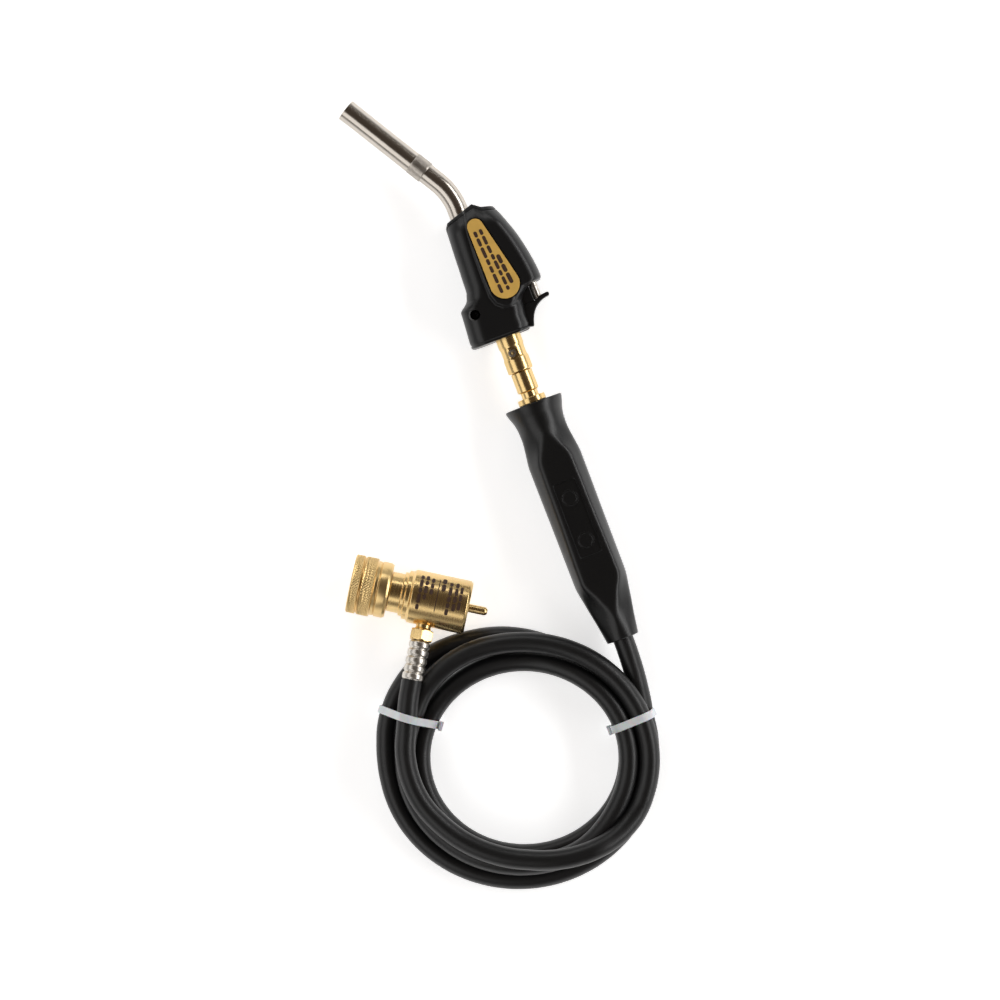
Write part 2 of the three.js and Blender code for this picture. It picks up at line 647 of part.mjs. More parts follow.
function couplingNut() {
  const profile = [
    [16.1, 0], [16.6, 0.5], [16.6, 5.0], [15.9, 5.3], [15.9, 6.1], [16.6, 6.4], [16.6, 13.0], [15.7, 13.4],
    [15.7, 21], [14.9, 21.9], [8.0, 21.9], [8.0, 15], [12.6, 15], [12.6, 0],
  ];
  return piece("coupling_nut", turned(profile, 32), BRASS);
}

function outlet() {
  const hex = solid(rod(7.1, 17.5, 23.7, 6));
  const neck = solid(turned([[0, 9.5], [3.5, 9.5], [3.5, 15.5], [5.2, 15.8], [5.2, 18], [0, 18]], 20));
  const barb = solid(rod(2.3, 20, 40, 12));
  const bore = solid(rod(1.2, 5, 45, 8));
  const fitting = hex.add(neck).add(barb).subtract(bore);
  const profile = [[2.7, FERRULE.from]];
  const ribs = 5;
  const pitch = (FERRULE.to - FERRULE.from) / ribs;
  for (let i = 0; i < ribs; i += 1) {
    const start = FERRULE.from + i * pitch;
    profile.push([5.3, start], [FERRULE.r, start + 0.9], [FERRULE.r, start + pitch - 0.9], [5.3, start + pitch]);
  }
  profile.push([2.7, FERRULE.to]);
  const side = new THREE.Group();
  side.position.y = OUTLET_S;
  side.rotation.y = -OUTLET_TILT;
  const parts = [piece("outlet_fitting", fitting, BRASS), piece("regulator_hose_ferrule", turned(profile, 18), NICKEL)];
  for (const part of parts) {
    part.rotation.z = -Math.PI / 2;
    side.add(part);
  }
  return side;
}

function regulator() {
  const group = new THREE.Group();
  group.position.set(REGULATOR.x, REGULATOR.y, REGULATOR.z);
  group.rotation.z = REGULATOR_TURN;
  const stem = [
    [1.3, 7.5], [4.2, 7.5], [4.2, 11], [10.3, 11], [10.3, 14.6], [7.6, 14.6], [7.6, 30], [1.3, 30],
  ];
  const guide = [
    [2.75, 62.4], [12.9, 62.4], [12.9, 66.9], [4, 66.9], [4, 65.2], [2.75, 65.2],
  ];
  const spindle = [
    [0, 61], [6, 61], [6, 62], [2.4, 62], [2.4, 76.8], [1.6, 78], [0, 78],
  ];
  const parts = [
    couplingNut(),
    regulatorBody(),
    piece("inlet_stem", turned(stem, 28), BRASS),
    piece("inlet_seal", oRing(5.6, 1.0, 9.6), SEAL),
    piece("depressor_pin", rod(0.8, 6.6, 29, 8), STEEL),
    piece("inlet_filter", rod(7.4, 30.4, 33.6, 16), NICKEL),
    piece("diaphragm", rod(12.8, 50.4, 51.2, 24), SEAL),
    piece("spring_seat", rod(8.5, 51.6, 53, 20), STEEL),
    piece("regulator_spring", coilSpring(6.6, 0.8, 54.2, 59.7, 3), STEEL),
    piece("spindle_guide", turned(guide, 28), BRASS),
    piece("adjusting_spindle", turned(spindle, 20), BRASS),
    piece("spindle_o_ring", oRing(3.2, 0.45, 66), SEAL),
  ];
  group.add(...parts, outlet());
  return group;
}

// ---------- assembly ----------
const CORD_NODES = ["hose_handle_tail", "hose_coil", "hose_regulator_tail", ...TIES.map((tie) => tie.name)];

const torch = new THREE.Group();
torch.add(...head(), ...handle(), ...hose(), ...TIES.map(cableTie), regulator());

// The origin is at the middle of the ground under the hard parts.
torch.updateMatrixWorld(true);
const hard = new THREE.Box3();
torch.traverse((part) => {
  if (part.isMesh && !CORD_NODES.includes(part.name)) hard.expandByObject(part, true);
});
const middle = hard.getCenter(new THREE.Vector3());
torch.position.set(-middle.x, -middle.y, -hard.min.z);

const model = new THREE.Group();
model.add(torch);

export default model;
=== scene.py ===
"""Hose torch: fine shells, knurled brass, hose and ties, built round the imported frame."""
import json
import math
import random

import bmesh
import bpy
from bpy.props import FloatProperty, FloatVectorProperty, IntProperty, PointerProperty
from bpy.types import Operator, Panel, PropertyGroup
from mathutils import Matrix, Vector


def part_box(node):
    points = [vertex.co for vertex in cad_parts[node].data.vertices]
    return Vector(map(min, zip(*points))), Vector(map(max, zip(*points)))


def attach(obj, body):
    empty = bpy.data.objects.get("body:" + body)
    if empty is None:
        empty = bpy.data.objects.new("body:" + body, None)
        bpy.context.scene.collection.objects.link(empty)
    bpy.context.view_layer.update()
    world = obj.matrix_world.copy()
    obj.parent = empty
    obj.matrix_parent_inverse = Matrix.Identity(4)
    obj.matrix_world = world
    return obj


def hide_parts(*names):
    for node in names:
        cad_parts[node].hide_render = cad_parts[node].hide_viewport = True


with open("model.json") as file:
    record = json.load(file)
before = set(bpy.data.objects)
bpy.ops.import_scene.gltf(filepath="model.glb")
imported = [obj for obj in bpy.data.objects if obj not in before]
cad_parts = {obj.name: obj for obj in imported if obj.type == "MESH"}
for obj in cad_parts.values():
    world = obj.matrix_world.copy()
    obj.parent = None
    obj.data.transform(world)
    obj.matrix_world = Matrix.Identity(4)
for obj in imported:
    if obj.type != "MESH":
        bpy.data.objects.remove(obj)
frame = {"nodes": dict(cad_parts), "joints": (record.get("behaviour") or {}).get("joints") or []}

bl_info = {
    "name": "Hose Torch",
    "version": (1, 0, 0),
    "blender": (4, 5, 0),
    "location": "View3D > Sidebar > Torch",
    "description": "Builds the looks of a hose torch round its frame",
    "category": "Object",
}

# ---------- places, from the frame ----------
MM = 0.001
GRIP_LOW, GRIP_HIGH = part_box("grip")
TORCH_AT = Vector(((GRIP_LOW.x + GRIP_HIGH.x) / 2, GRIP_HIGH.y, (GRIP_LOW.z + GRIP_HIGH.z) / 2))
TORCH = Matrix.Translation(TORCH_AT) @ Matrix.Scale(MM, 4)
GROUND = Matrix.Translation((TORCH_AT.x, TORCH_AT.y, 0)) @ Matrix.Scale(MM, 4)

JOINTS = {joint["name"]: joint for joint in frame["joints"]}
REGULATOR_AXIS = Vector(JOINTS["nut_turn"]["axis"])
NUT_MIDDLE = 10  # the nut's joint is this far in from its mouth
REGULATOR_TURN = math.atan2(-REGULATOR_AXIS.x, REGULATOR_AXIS.y)
MOUTH = Vector(JOINTS["nut_turn"]["pos_m"]) - REGULATOR_AXIS * NUT_MIDDLE * MM
REGULATOR = Matrix.Translation(MOUTH) @ Matrix.Rotation(REGULATOR_TURN, 4, "Z") @ Matrix.Scale(MM, 4)
OUTLET_S = 44.8
OUTLET_TILT = math.radians(7)
OUTLET = (
    REGULATOR
    @ Matrix.Translation((0, OUTLET_S, 0))
    @ Matrix.Rotation(-OUTLET_TILT, 4, "Y")
    @ Matrix.Rotation(math.radians(-90), 4, "Z")
)

TUBE_X = -0.9  # the burner tube's own axis
BEND_CORNER = 126.1
BEND_ANGLE = math.radians(30.8)
BEND_RADIUS = 36
BEND_TANGENT = BEND_RADIUS * math.tan(BEND_ANGLE / 2)
TUBE_FROM = 92
TUBE_R = 5.9
FLAME_FROM = 18.4  # the flame tube starts this far after the corner of the bend
FLAME_LENGTH = 56.9
BAND_LENGTH = 9.3  # the crimped band round the flame tube's start
BAND_R = 6.44
BAND_INSIDE_R = 6.1
DENT_SEED = 3

VIEW_TURN = math.radians(-20.9)
VIEW_CENTRE = (-36.7, -44.1)
VIEW_WIDTH = 0.56
CAMERA_HEIGHT = 2.4


# ---------- sizes and finishes that a user may change ----------
def a_length(name, description, default):
    return FloatProperty(name=name, description=description, default=default, unit="LENGTH")


def a_colour(name, description, default):
    return FloatVectorProperty(name=name, description=description, subtype="COLOR", default=default)


class TorchSizes(PropertyGroup):
    """Sizes of the torch's fine detail."""

    hose_diameter: a_length("Hose diameter", "Outside diameter of the gas hose", 0.0116)
    tie_width: a_length("Tie width", "Width of the cable ties' band", 0.0044)
    tie_thickness: a_length("Tie thickness", "Thickness of the cable ties' band", 0.0012)
    knurl_pitch: a_length("Knurl pitch", "Distance between the knurl's diamonds, round the nut", 0.0017)
    knurl_depth: a_length("Knurl depth", "Depth of the knurl on the coupling nut", 0.0005)
    casing_step: a_length(
        "Casing step", "Height of the raised part of the casing over its left side", 0.0019
    )
    mark_seed: IntProperty(
        name="Mark seed",
        description="Seed for the lengths of the plain bars on the plate and the regulator",
        default=7,
    )


class TorchFinishes(PropertyGroup):
    """Colours of the torch's finishes."""

    casing: a_colour("Casing", "Moulded plastic of the head casing", (0.0065, 0.0065, 0.0068))
    grip: a_colour("Grip", "Soft plastic of the grip", (0.0060, 0.0060, 0.0062))
    hose: a_colour("Hose", "Rubber of the hose", (0.0050, 0.0050, 0.0052))
    brass: a_colour("Brass", "Turned brass", (0.84, 0.60, 0.27))
    steel: a_colour("Steel", "Bright stainless tube", (0.60, 0.55, 0.49))
    nickel: a_colour("Nickel", "Plated ferrule", (0.72, 0.68, 0.62))
    nylon: a_colour("Nylon", "Cable ties", (0.74, 0.77, 0.79))
    plate: a_colour("Plate", "Gold foil of the casing's plate", (0.82, 0.50, 0.115))
    ink: a_colour("Ink", "Dark bars on the plate and the regulator", (0.055, 0.022, 0.010))


# ---------- finishes ----------
def node(tree, kind, **values):
    """A new node in a tree, with a value for each input that is named."""
    made = tree.nodes.new(kind)
    for socket, value in values.items():
        made.inputs[socket.replace("_", " ")].default_value = value
    return made


def textured(name, colour, other, rough, metallic, grain, depth, patch,
             stretch=(1, 1, 1), turn=0.0, **settings):
    """A finish with fine grain in its gloss and relief, and a slow change of colour.

    grain and patch are sizes in metres, stretch lengthens the grain along X, Y and Z after
    the turn about Z, and rough is the lowest and highest roughness."""
    made = bpy.data.materials.new(name)
    made.use_nodes = True
    tree = made.node_tree
    skin = tree.nodes["Principled BSDF"]
    skin.inputs["Metallic"].default_value = metallic
    for socket, value in settings.items():
        skin.inputs[socket.replace("_", " ")].default_value = value
    place = node(tree, "ShaderNodeTexCoord")
    lay = node(tree, "ShaderNodeMapping", Rotation=(0, 0, -turn))
    stretched = node(tree, "ShaderNodeMapping", Scale=[1 / (grain * s) for s in stretch])
    fine = node(tree, "ShaderNodeTexNoise", Scale=1, Detail=3)
    slow = node(tree, "ShaderNodeTexNoise", Scale=1 / patch, Detail=4)
    low, high = rough
    gloss = node(tree, "ShaderNodeMapRange", From_Min=0.3, From_Max=0.7, To_Min=low, To_Max=high)
    relief = node(tree, "ShaderNodeBump", Strength=0.6, Distance=depth)
    tone = node(tree, "ShaderNodeValToRGB")
    for element, position, shown in zip(tone.color_ramp.elements, (0.35, 0.65), (other, colour)):
        element.position = position
        element.color = (*shown, 1)
    links = tree.links
    links.new(place.outputs["Object"], lay.inputs["Vector"])
    links.new(lay.outputs["Vector"], stretched.inputs["Vector"])
    links.new(stretched.outputs["Vector"], fine.inputs["Vector"])
    links.new(place.outputs["Object"], slow.inputs["Vector"])
    links.new(fine.outputs["Fac"], gloss.inputs["Value"])
    links.new(slow.outputs["Fac"], tone.inputs["Fac"])
    links.new(fine.outputs["Fac"], relief.inputs["Height"])
    links.new(gloss.outputs["Result"], skin.inputs["Roughness"])
    links.new(tone.outputs["Color"], skin.inputs["Base Color"])
    links.new(relief.outputs["Normal"], skin.inputs["Normal"])
    return made


ROUND = (60, 1, 60)  # grain that runs round Y, as turning leaves it
# Each finish: colour, colour of its patches, roughness, metallic, grain, relief, patch size, the rest.
# A colour is itself, or the name of one that a user may change and a share of it.
FINISHES = {
    "casing_plastic": (("casing", 1), ("casing", 0.85), (0.29, 0.38), 0, 0.00025, 0.000012, 0.03,
                       {"Specular_IOR_Level": 0.42}),
    "grip_plastic": (("grip", 1), ("grip", 0.85), (0.27, 0.38), 0, 0.0003, 0.00002, 0.03,
                     {"Specular_IOR_Level": 0.42}),
    "hose_skin": (("hose", 1), ("hose", 1.4), (0.33, 0.45), 0, 0.0006, 0.00004, 0.015,
                  {"Specular_IOR_Level": 0.45}),
    "tie_nylon": (("nylon", 1), ("nylon", 0.93), (0.35, 0.5), 0, 0.0006, 0.00002, 0.006,
                  {"Subsurface_Weight": 0.35, "Subsurface_Scale": 0.002}),
    "brass_turned": (("brass", 1), ("brass", 0.93), (0.19, 0.27), 1, 0.00012, 0.000002, 0.02,
                     {"stretch": ROUND}),
    "brass_regulator": (("brass", 1), ("brass", 0.94), (0.20, 0.30), 1, 0.00012, 0.000003, 0.03,
                        {"stretch": ROUND, "turn": REGULATOR_TURN}),
    "brass_knurl": (("brass", 1), ("brass", 0.9), (0.26, 0.36), 1, 0.0003, 0.000004, 0.01, {}),
    "steel_bright": (("steel", 1), ("steel", 0.9), (0.16, 0.26), 1, 0.0002, 0.000003, 0.02,
                     {"stretch": (1, 40, 1)}),
    "steel_frosted": (("steel", 0.85), ("steel", 0.7), (0.3, 0.45), 1, 0.0004, 0.00003, 0.002, {}),
    # Steel coloured near black, on all three screw heads, which sit deep in their wells.
    "steel_blackened": ((0.03, 0.03, 0.032), (0.02, 0.02, 0.022), (0.35, 0.5), 0.6, 0.0002, 0.00001,
                        0.004, {}),
    "nickel_plate": (("nickel", 1), ("nickel", 0.85), (0.24, 0.36), 1, 0.0004, 0.00001, 0.004, {}),
    "plate_foil": (("plate", 1), ("plate", 0.88), (0.38, 0.5), 0.12, 0.0002, 0.000004, 0.008,
                   {"stretch": (1, 20, 1)}),
    "bar_ink": (("ink", 1), ("ink", 0.7), (0.5, 0.65), 0, 0.0002, 0.000006, 0.002, {}),
    "seal_rubber_fine": ((0.02, 0.02, 0.02), (0.028, 0.028, 0.028), (0.55, 0.7), 0, 0.0003, 0.00001,
                         0.004, {}),
    "ceramic_glaze": ((0.82, 0.80, 0.74), (0.76, 0.73, 0.66), (0.25, 0.35), 0, 0.0004, 0.000005,
                      0.004, {}),
    "lead_insulation": ((0.34, 0.03, 0.02), (0.26, 0.02, 0.015), (0.4, 0.5), 0, 0.0003, 0.000008,
                        0.004, {}),
    "piezo_case_brown": ((0.20, 0.035, 0.02), (0.15, 0.025, 0.015), (0.4, 0.5), 0, 0.0003, 0.000008,
                         0.004, {}),
    "floor_white": ((0.93, 0.93, 0.93), (0.915, 0.915, 0.915), (0.6, 0.75), 0, 0.004, 0.00002, 0.4,
                    {"Emission_Color": (1, 1, 1, 1), "Emission_Strength": 0.6}),
}
SLOT_FINISHES = {
    "casing_black": "casing_plastic",
    "grip_black": "grip_plastic",
    "hose_rubber": "hose_skin",
    "nylon": "tie_nylon",
    "brass": "brass_turned",
    "steel": "steel_bright",
    "nickel": "nickel_plate",
    "seal_rubber": "seal_rubber_fine",
    "label_gold": "plate_foil",
    "ceramic": "ceramic_glaze",
    "lead_red": "lead_insulation",
    "piezo_brown": "piezo_case_brown",
}


def paint(colour):
    """A colour as three numbers."""
    if len(colour) == 3:
        return colour
    name, share = colour
    return tuple(c * share for c in getattr(bpy.context.scene.torch_finishes, name))


def finish(name):
    """The material of a finish, made when it is first asked for."""
    made = bpy.data.materials.get(name)
    if made:
        return made
    colour, other, *numbers, rest = FINISHES[name]
    return textured(name, paint(colour), paint(other), *numbers, **rest)


# ---------- making meshes, in millimetres ----------
SHARP_ANGLE = 35  # degrees; a sharper edge than this is shaded crisp


def add_rows(work, rows, around=True, ends=True):
    """Faces between rows of points that all have the same count."""
    rings = [[work.verts.new(p) for p in row] for row in rows]
    count = len(rows[0])
    for low, high in zip(rings, rings[1:]):
        for i in range(count if around else count - 1):
            j = (i + 1) % count
            work.faces.new((low[i], low[j], high[j], high[i]))
    if ends:
        work.faces.new(list(reversed(rings[0])))
        work.faces.new(rings[-1])
    return rings


def tidy(work):
    """Merges points that meet and turns all faces outward."""
    bmesh.ops.remove_doubles(work, verts=work.verts, dist=0.0005)
    bmesh.ops.recalc_face_normals(work, faces=work.faces)


def finished(name, work, place, material, angle=SHARP_ANGLE):
    """The piece, in its place, with smooth faces and crisp edges."""
    tidy(work)
    mesh = bpy.data.meshes.new(name)
    work.to_mesh(mesh)
    work.free()
    mesh.transform(place)
    mesh.materials.append(material)
    mesh.shade_smooth()
    mesh.set_sharp_from_angle(angle=math.radians(angle))
    made = bpy.data.objects.new(name, mesh)
    bpy.context.scene.collection.objects.link(made)
    return made


def settled(piece):
    """The piece with its modifiers applied."""
    graph = bpy.context.evaluated_depsgraph_get()
    old = piece.data
    mesh = bpy.data.meshes.new_from_object(piece.evaluated_get(graph))
    piece.modifiers.clear()
    piece.data = mesh
    mesh.name = piece.name
    bpy.data.meshes.remove(old)
    mesh.shade_smooth()
    mesh.set_sharp_from_angle(angle=math.radians(SHARP_ANGLE))
    return piece


def cut_by(piece, cutter):
    """Takes a cutter's shape out of a piece, and removes the cutter."""
    step = piece.modifiers.new("cut", "BOOLEAN")
    step.operation = "DIFFERENCE"
    step.solver = "EXACT"
    step.object = cutter
    settled(piece)
    bpy.data.objects.remove(cutter)


def bevelled(piece, width, segments, angle=SHARP_ANGLE):
    """The piece with its sharp edges rounded. width is in metres."""
    step = piece.modifiers.new("bevel", "BEVEL")
    step.width = width
    step.segments = segments
    step.limit_method = "ANGLE"
    step.angle_limit = math.radians(angle)
    return settled(piece)


def even(piece):
    """Shades broad faces flat up to their eased edges."""
    step = piece.modifiers.new("even", "WEIGHTED_NORMAL")
    step.keep_sharp = True
    return piece


def join(piece, body, slot, *nodes):
    """Puts a piece on its body and hides the CAD nodes that it stands for; its slot is not used."""
    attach(piece, body)
    if nodes:
        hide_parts(*nodes)
    return piece


def ring(y, sides, radius_at):
    """Points round Y, at the radius that radius_at gives for each angle."""
    points = []
    for i in range(sides):
        a = i / sides * math.tau
        r = radius_at(a)
        points.append(Vector((r * math.cos(a), y, r * math.sin(a))))
    return points


def circle(radius, y, sides):
    return ring(y, sides, lambda a: radius)


def turned(work, profile, sides):
    """A solid turned round Y. A profile that doesn't start on the axis closes on itself."""
    closed = profile[0][0] > 0
    rows = [circle(max(r, 0), y, sides) for r, y in profile]
    if closed:
        rows.append(rows[0])
    add_rows(work, rows, ends=False)
    tidy(work)


def eased(profile, size):
    """The profile with each of its corners rounded over size."""
    steps = 3
    nearly_straight = math.radians(165)
    closed = profile[0][0] > 0
    points = [Vector(p) for p in profile]
    out = []
    for i, here in enumerate(points):
        if not closed and i in (0, len(points) - 1):
            out.append(tuple(here))
            continue
        back = points[i - 1] - here
        on = points[(i + 1) % len(points)] - here
        if back.angle(on) > nearly_straight:
            out.append(tuple(here))
            continue
        start = here + back.normalized() * min(size, back.length * 0.45)
        end = here + on.normalized() * min(size, on.length * 0.45)
        for k in range(steps + 1):
            t = k / steps
            out.append(tuple(start * (1 - t) ** 2 + here * (2 * t * (1 - t)) + end * t ** 2))
    return out


def lathe(name, profile, place, material, sides, size):
    """A piece turned round Y from (radius, y) places, with its edges eased by size."""
    work = bmesh.new()
    turned(work, eased(profile, size), sides)
    return even(finished(name, work, place, material))


def prism(work, outline, z0, z1):
    """An outline in X and Y, drawn out from z0 to z1."""
    rows = [[Vector((x, y, z)) for x, y in outline] for z in (z0, z1)]
    add_rows(work, rows)


def cutter(shape, place):
    """An unseen solid that a boolean cuts with."""
    work = bmesh.new()
    shape(work)
    return finished("cutter", work, place, finish("casing_plastic"))


def monotone(keys, x):
    """Smooth values between keys (x, value, value, ...) with no overshoot. x runs upward."""
    i = 0
    while i < len(keys) - 2 and x > keys[i + 1][0]:
        i += 1

    def rate(k, j):
        return (keys[k + 1][j] - keys[k][j]) / (keys[k + 1][0] - keys[k][0])

    def slope(k, j):
        if k == 0:
            return rate(0, j)
        if k == len(keys) - 1:
            return rate(k - 1, j)
        a, b = rate(k - 1, j), rate(k, j)
        return 2 * a * b / (a + b) if a * b > 0 else 0

    span = keys[i + 1][0] - keys[i][0]
    t = min(max((x - keys[i][0]) / span, 0), 1)
    values = []
    for j in range(1, len(keys[0])):
        values.append(
            (2 * t ** 3 - 3 * t ** 2 + 1) * keys[i][j]
            + (t ** 3 - 2 * t ** 2 + t) * slope(i, j) * span
            + (3 * t ** 2 - 2 * t ** 3) * keys[i + 1][j]
            + (t ** 3 - t ** 2) * slope(i + 1, j) * span
        )
    return values


def blend(low, high, x):
    """0 up to low, 1 from high on, and smooth between."""
    t = min(max((x - low) / (high - low), 0), 1)
    return t * t * (3 - 2 * t)


# ---------- head casing ----------
HALF = 16.7  # half of the head's thickness
SHELL_GAP = 0.15  # from the parting plane to each shell
WALL = 1.9
SLOT_HALF = 6.4  # half of the trigger's slot
SLOT_TOP = 63.3
ROUND_LEFT, ROUND_RIGHT, ROUND_UP = 9.5, 7.5, 10  # rounding of the long edges: across, across, upward
SIDE_STEPS, CORNER_STEPS, TOP_STEPS = 8, 15, 70
SWIVEL_HOLE_R = 7.7
TUBE_HOLE_R = 6.15
SCREW_HOLE_R = 2.9
# Matching places on the casing's left and right edges, from its lower to its upper end.
EDGES = [
    ((-20.2, 39.6), (13.0, 39.6)),
    ((-21.4, 41.2), (13.6, 40.9)),
    ((-21.0, 47.0), (13.5, 47.0)),
    ((-20.5, 52.6), (14.4, 52.6)),
    ((-20.2, 56.6), (14.9, 56.4)),
    ((-20.0, 59.4), (16.0, 58.4)),
    ((-19.9, 61.0), (17.9, 60.0)),
    ((-18.8, 62.4), (20.2, 61.6)),
    ((-17.3, 63.5), (22.9, 62.8)),
    ((-16.2, 64.4), (25.7, 63.1)),
    ((-15.3, 65.2), (28.1, 63.4)),
    ((-14.4, 66.6), (29.2, 64.6)),
    ((-13.7, 68.6), (29.3, 66.4)),
    ((-12.9, 71.6), (29.1, 70.0)),
    ((-12.6, 78.0), (28.2, 77.4)),
    ((-12.2, 85.0), (26.8, 85.0)),
    ((-11.9, 92.0), (25.1, 92.0)),
    ((-11.5, 99.0), (22.7, 99.4)),
    ((-11.2, 104.6), (20.3, 106.0)),
    ((-11.0, 108.2), (18.2, 110.8)),
]
TOP_EDGE = [(-11.0, 108.2), (-9.2, 110.7), (7.2, 115.6), (11.5, 112.3), (18.2, 110.8)]
# The raised part of the front: it runs off the casing's right edge.
RAISED = [
    (3.0, 125), (1.2, 112), (-0.4, 100), (-1.3, 88), (-1.6, 74), (-1.4, 63.5), (0.2, 58.6), (3.6, 55.6),
    (7.6, 54.9), (11.0, 56.2), (16.0, 59.0), (22.0, 62.0), (34.0, 63.0), (40, 125),
]
# Each screw: name, x, y, side of the parting plane, height of its well's rim.
SCREWS = [
    ("front", -12.8, 57.1, 1, 14.75),
    ("back_lower", 10.1, 84.0, -1, 15.9),
    ("back_upper", 12.2, 102.2, -1, 15.9),
]
# The plate's two round ends: x, y, radius.
PLATE_SMALL = (4.6, 102.8, 4.9)
PLATE_LARGE = (8.7, 67.5, 8.8)
POCKET_FLOOR = HALF - 1.35
PLATE_UNDER = HALF - 1.2
PLATE_TOP = HALF - 0.3


def edge_at(side, t):
    """A place on the left (0) or right (1) edge, with t counting the places in EDGES."""
    keys = [(k, *EDGES[k][side]) for k in range(len(EDGES))]
    return monotone(keys, t)


def raised_share(x, y):
    """1 on the raised part, 0 off it, with a short slope between."""
    inside = False
    nearest = 1e9
    for k, (ax, ay) in enumerate(RAISED):
        bx, by = RAISED[(k + 1) % len(RAISED)]
        if (ay > y) != (by > y) and x < (bx - ax) * (y - ay) / (by - ay) + ax:
            inside = not inside
        along = Vector((bx - ax, by - ay))
        t = min(max(((x - ax) * along.x + (y - ay) * along.y) / along.length_squared, 0), 1)
        nearest = min(nearest, math.hypot(x - ax - along.x * t, y - ay - along.y * t))
    return blend(-0.9, 0.9, nearest if inside else -nearest)


def top_shift(x):
    """How far the upper end rises at x over a straight line between its corners."""
    for (ax, ay), (bx, by) in zip(TOP_EDGE, TOP_EDGE[1:]):
        if x <= bx or bx == TOP_EDGE[-1][0]:
            height = ay + (by - ay) * min(max((x - ax) / (bx - ax), 0), 1)
            break
    (ax, ay), (bx, by) = TOP_EDGE[0], TOP_EDGE[-1]
    return height - (ay + (by - ay) * min(max((x - ax) / (bx - ax), 0), 1))


def casing_row(t, inset, front, step):
    """One row over a shell, from its right edge over the outside to its left edge."""
    last = len(EDGES) - 1
    left, right = edge_at(0, t), edge_at(1, t)
    left, right = (left[0] + inset, left[1]), (right[0] - inset, right[1])
    taper = 1 - 0.24 * blend(last - 1.9, last, t)
    half = (HALF - inset) * taper
    round_left, round_right = ROUND_LEFT - inset, ROUND_RIGHT - inset
    round_up = (ROUND_UP - inset) * taper
    floor = SLOT_HALF if right[1] < SLOT_TOP else SHELL_GAP
    spots = []
    for k in range(SIDE_STEPS + 1):
        spots.append((right[0], floor + (half - round_up - floor) * k / SIDE_STEPS))
    for k in range(1, CORNER_STEPS):
        a = k / CORNER_STEPS * math.pi / 2
        spots.append((right[0] - round_right * (1 - math.cos(a)), half - round_up * (1 - math.sin(a))))
    top_from, top_to = right[0] - round_right, left[0] + round_left
    for k in range(TOP_STEPS + 1):
        x = top_from + (top_to - top_from) * k / TOP_STEPS
        spots.append((x, half))
    for k in range(CORNER_STEPS - 1, 0, -1):
        a = k / CORNER_STEPS * math.pi / 2
        spots.append((left[0] + round_left * (1 - math.cos(a)), half - round_up * (1 - math.sin(a))))
    for k in range(SIDE_STEPS, -1, -1):
        spots.append((left[0], SHELL_GAP + (half - round_up - SHELL_GAP) * k / SIDE_STEPS))
    row = []
    upper = blend(last - 3.2, last, t)
    for x, z in spots:
        u = (right[0] - x) / (right[0] - left[0])
        y = right[1] + (left[1] - right[1]) * u + upper * top_shift(x)
        if front and z > SHELL_GAP:
            lowered = step * (1 - raised_share(x, y))
            z = z - lowered * blend(0, half, z)
        row.append(Vector((x, y, z)))
    return row


def hole_row(row, centre, radius):
    """A half circle with as many points as row, at the same places along Y."""
    made = []
    count = len(row) - 1
    for i, p in enumerate(row):
        a = math.pi * i / count
        made.append(Vector((centre + radius * math.cos(a), p.y, SHELL_GAP + radius * math.sin(a))))
    return made


def shell(name, front, sizes):
    """Half of the casing. Its rows are set in a little at the grooves near both ends."""
    last = len(EDGES) - 1
    step = sizes.casing_step / MM
    count = 132
    places = [(0.0, 0.5), (0.25, 0.1), (0.5, 0.0), (0.9, 0.0)]
    places += [(1.0, 0.12), (1.12, 0.5), (1.2, 0.5), (1.35, 0.1)]
    places += [(1.5 + (last - 2.12) * k / count, 0.0) for k in range(count + 1)]
    places += [(last - 0.56, 0.0), (last - 0.52, 0.4), (last - 0.44, 0.4), (last - 0.40, 0.0)]
    places += [(last - 0.12, 0.0), (last - 0.05, 0.1), (last, 0.55)]
    outer = [casing_row(t, inset, front, step) for t, inset in places]
    inner = [casing_row(min(max(t, 1.2), last - 0.35), WALL, front, step) for t, _ in places]
    upper_outer = hole_row(outer[-1], TUBE_X, TUBE_HOLE_R)
    upper_inner = hole_row(inner[-1], TUBE_X, TUBE_HOLE_R)
    for low, high in zip(upper_inner, upper_outer):
        high.y = 111.6 + (high.x - TUBE_X) * 0.3
        low.y = high.y - 3
    outer = [hole_row(outer[0], 0, SWIVEL_HOLE_R)] + outer + [upper_outer]
    inner = [hole_row(inner[0], 0, SWIVEL_HOLE_R)] + inner + [upper_inner]
    work = bmesh.new()
    outside = add_rows(work, outer, around=False, ends=False)
    inside = add_rows(work, inner, around=False, ends=False)
    for k in range(len(outer) - 1):
        for i in (0, -1):
            work.faces.new((outside[k][i], outside[k + 1][i], inside[k + 1][i], inside[k][i]))
    for k in (0, -1):
        for i in range(len(outer[0]) - 1):
            work.faces.new((outside[k][i], outside[k][i + 1], inside[k][i + 1], inside[k][i]))
    if not front:
        for vert in work.verts:
            vert.co.z = -vert.co.z
    return finished(name, work, TORCH, finish("casing_plastic"), 38)


def plate_outline(margin):
    """Two round ends joined by straight sides, and a margin wider."""
    steps = 40
    (sx, sy, sr), (lx, ly, lr) = PLATE_SMALL, PLATE_LARGE
    along = math.atan2(ly - sy, lx - sx)
    lean = math.acos((sr - lr) / math.hypot(lx - sx, ly - sy))
    points = []
    for (x, y, r), start, end in (
        (PLATE_LARGE, along - lean, along + lean),
        (PLATE_SMALL, along + lean, along - lean + math.tau),
    ):
        for k in range(steps + 1):
            a = start + (end - start) * k / steps
            points.append((x + (r + margin) * math.cos(a), y + (r + margin) * math.sin(a)))
    return points


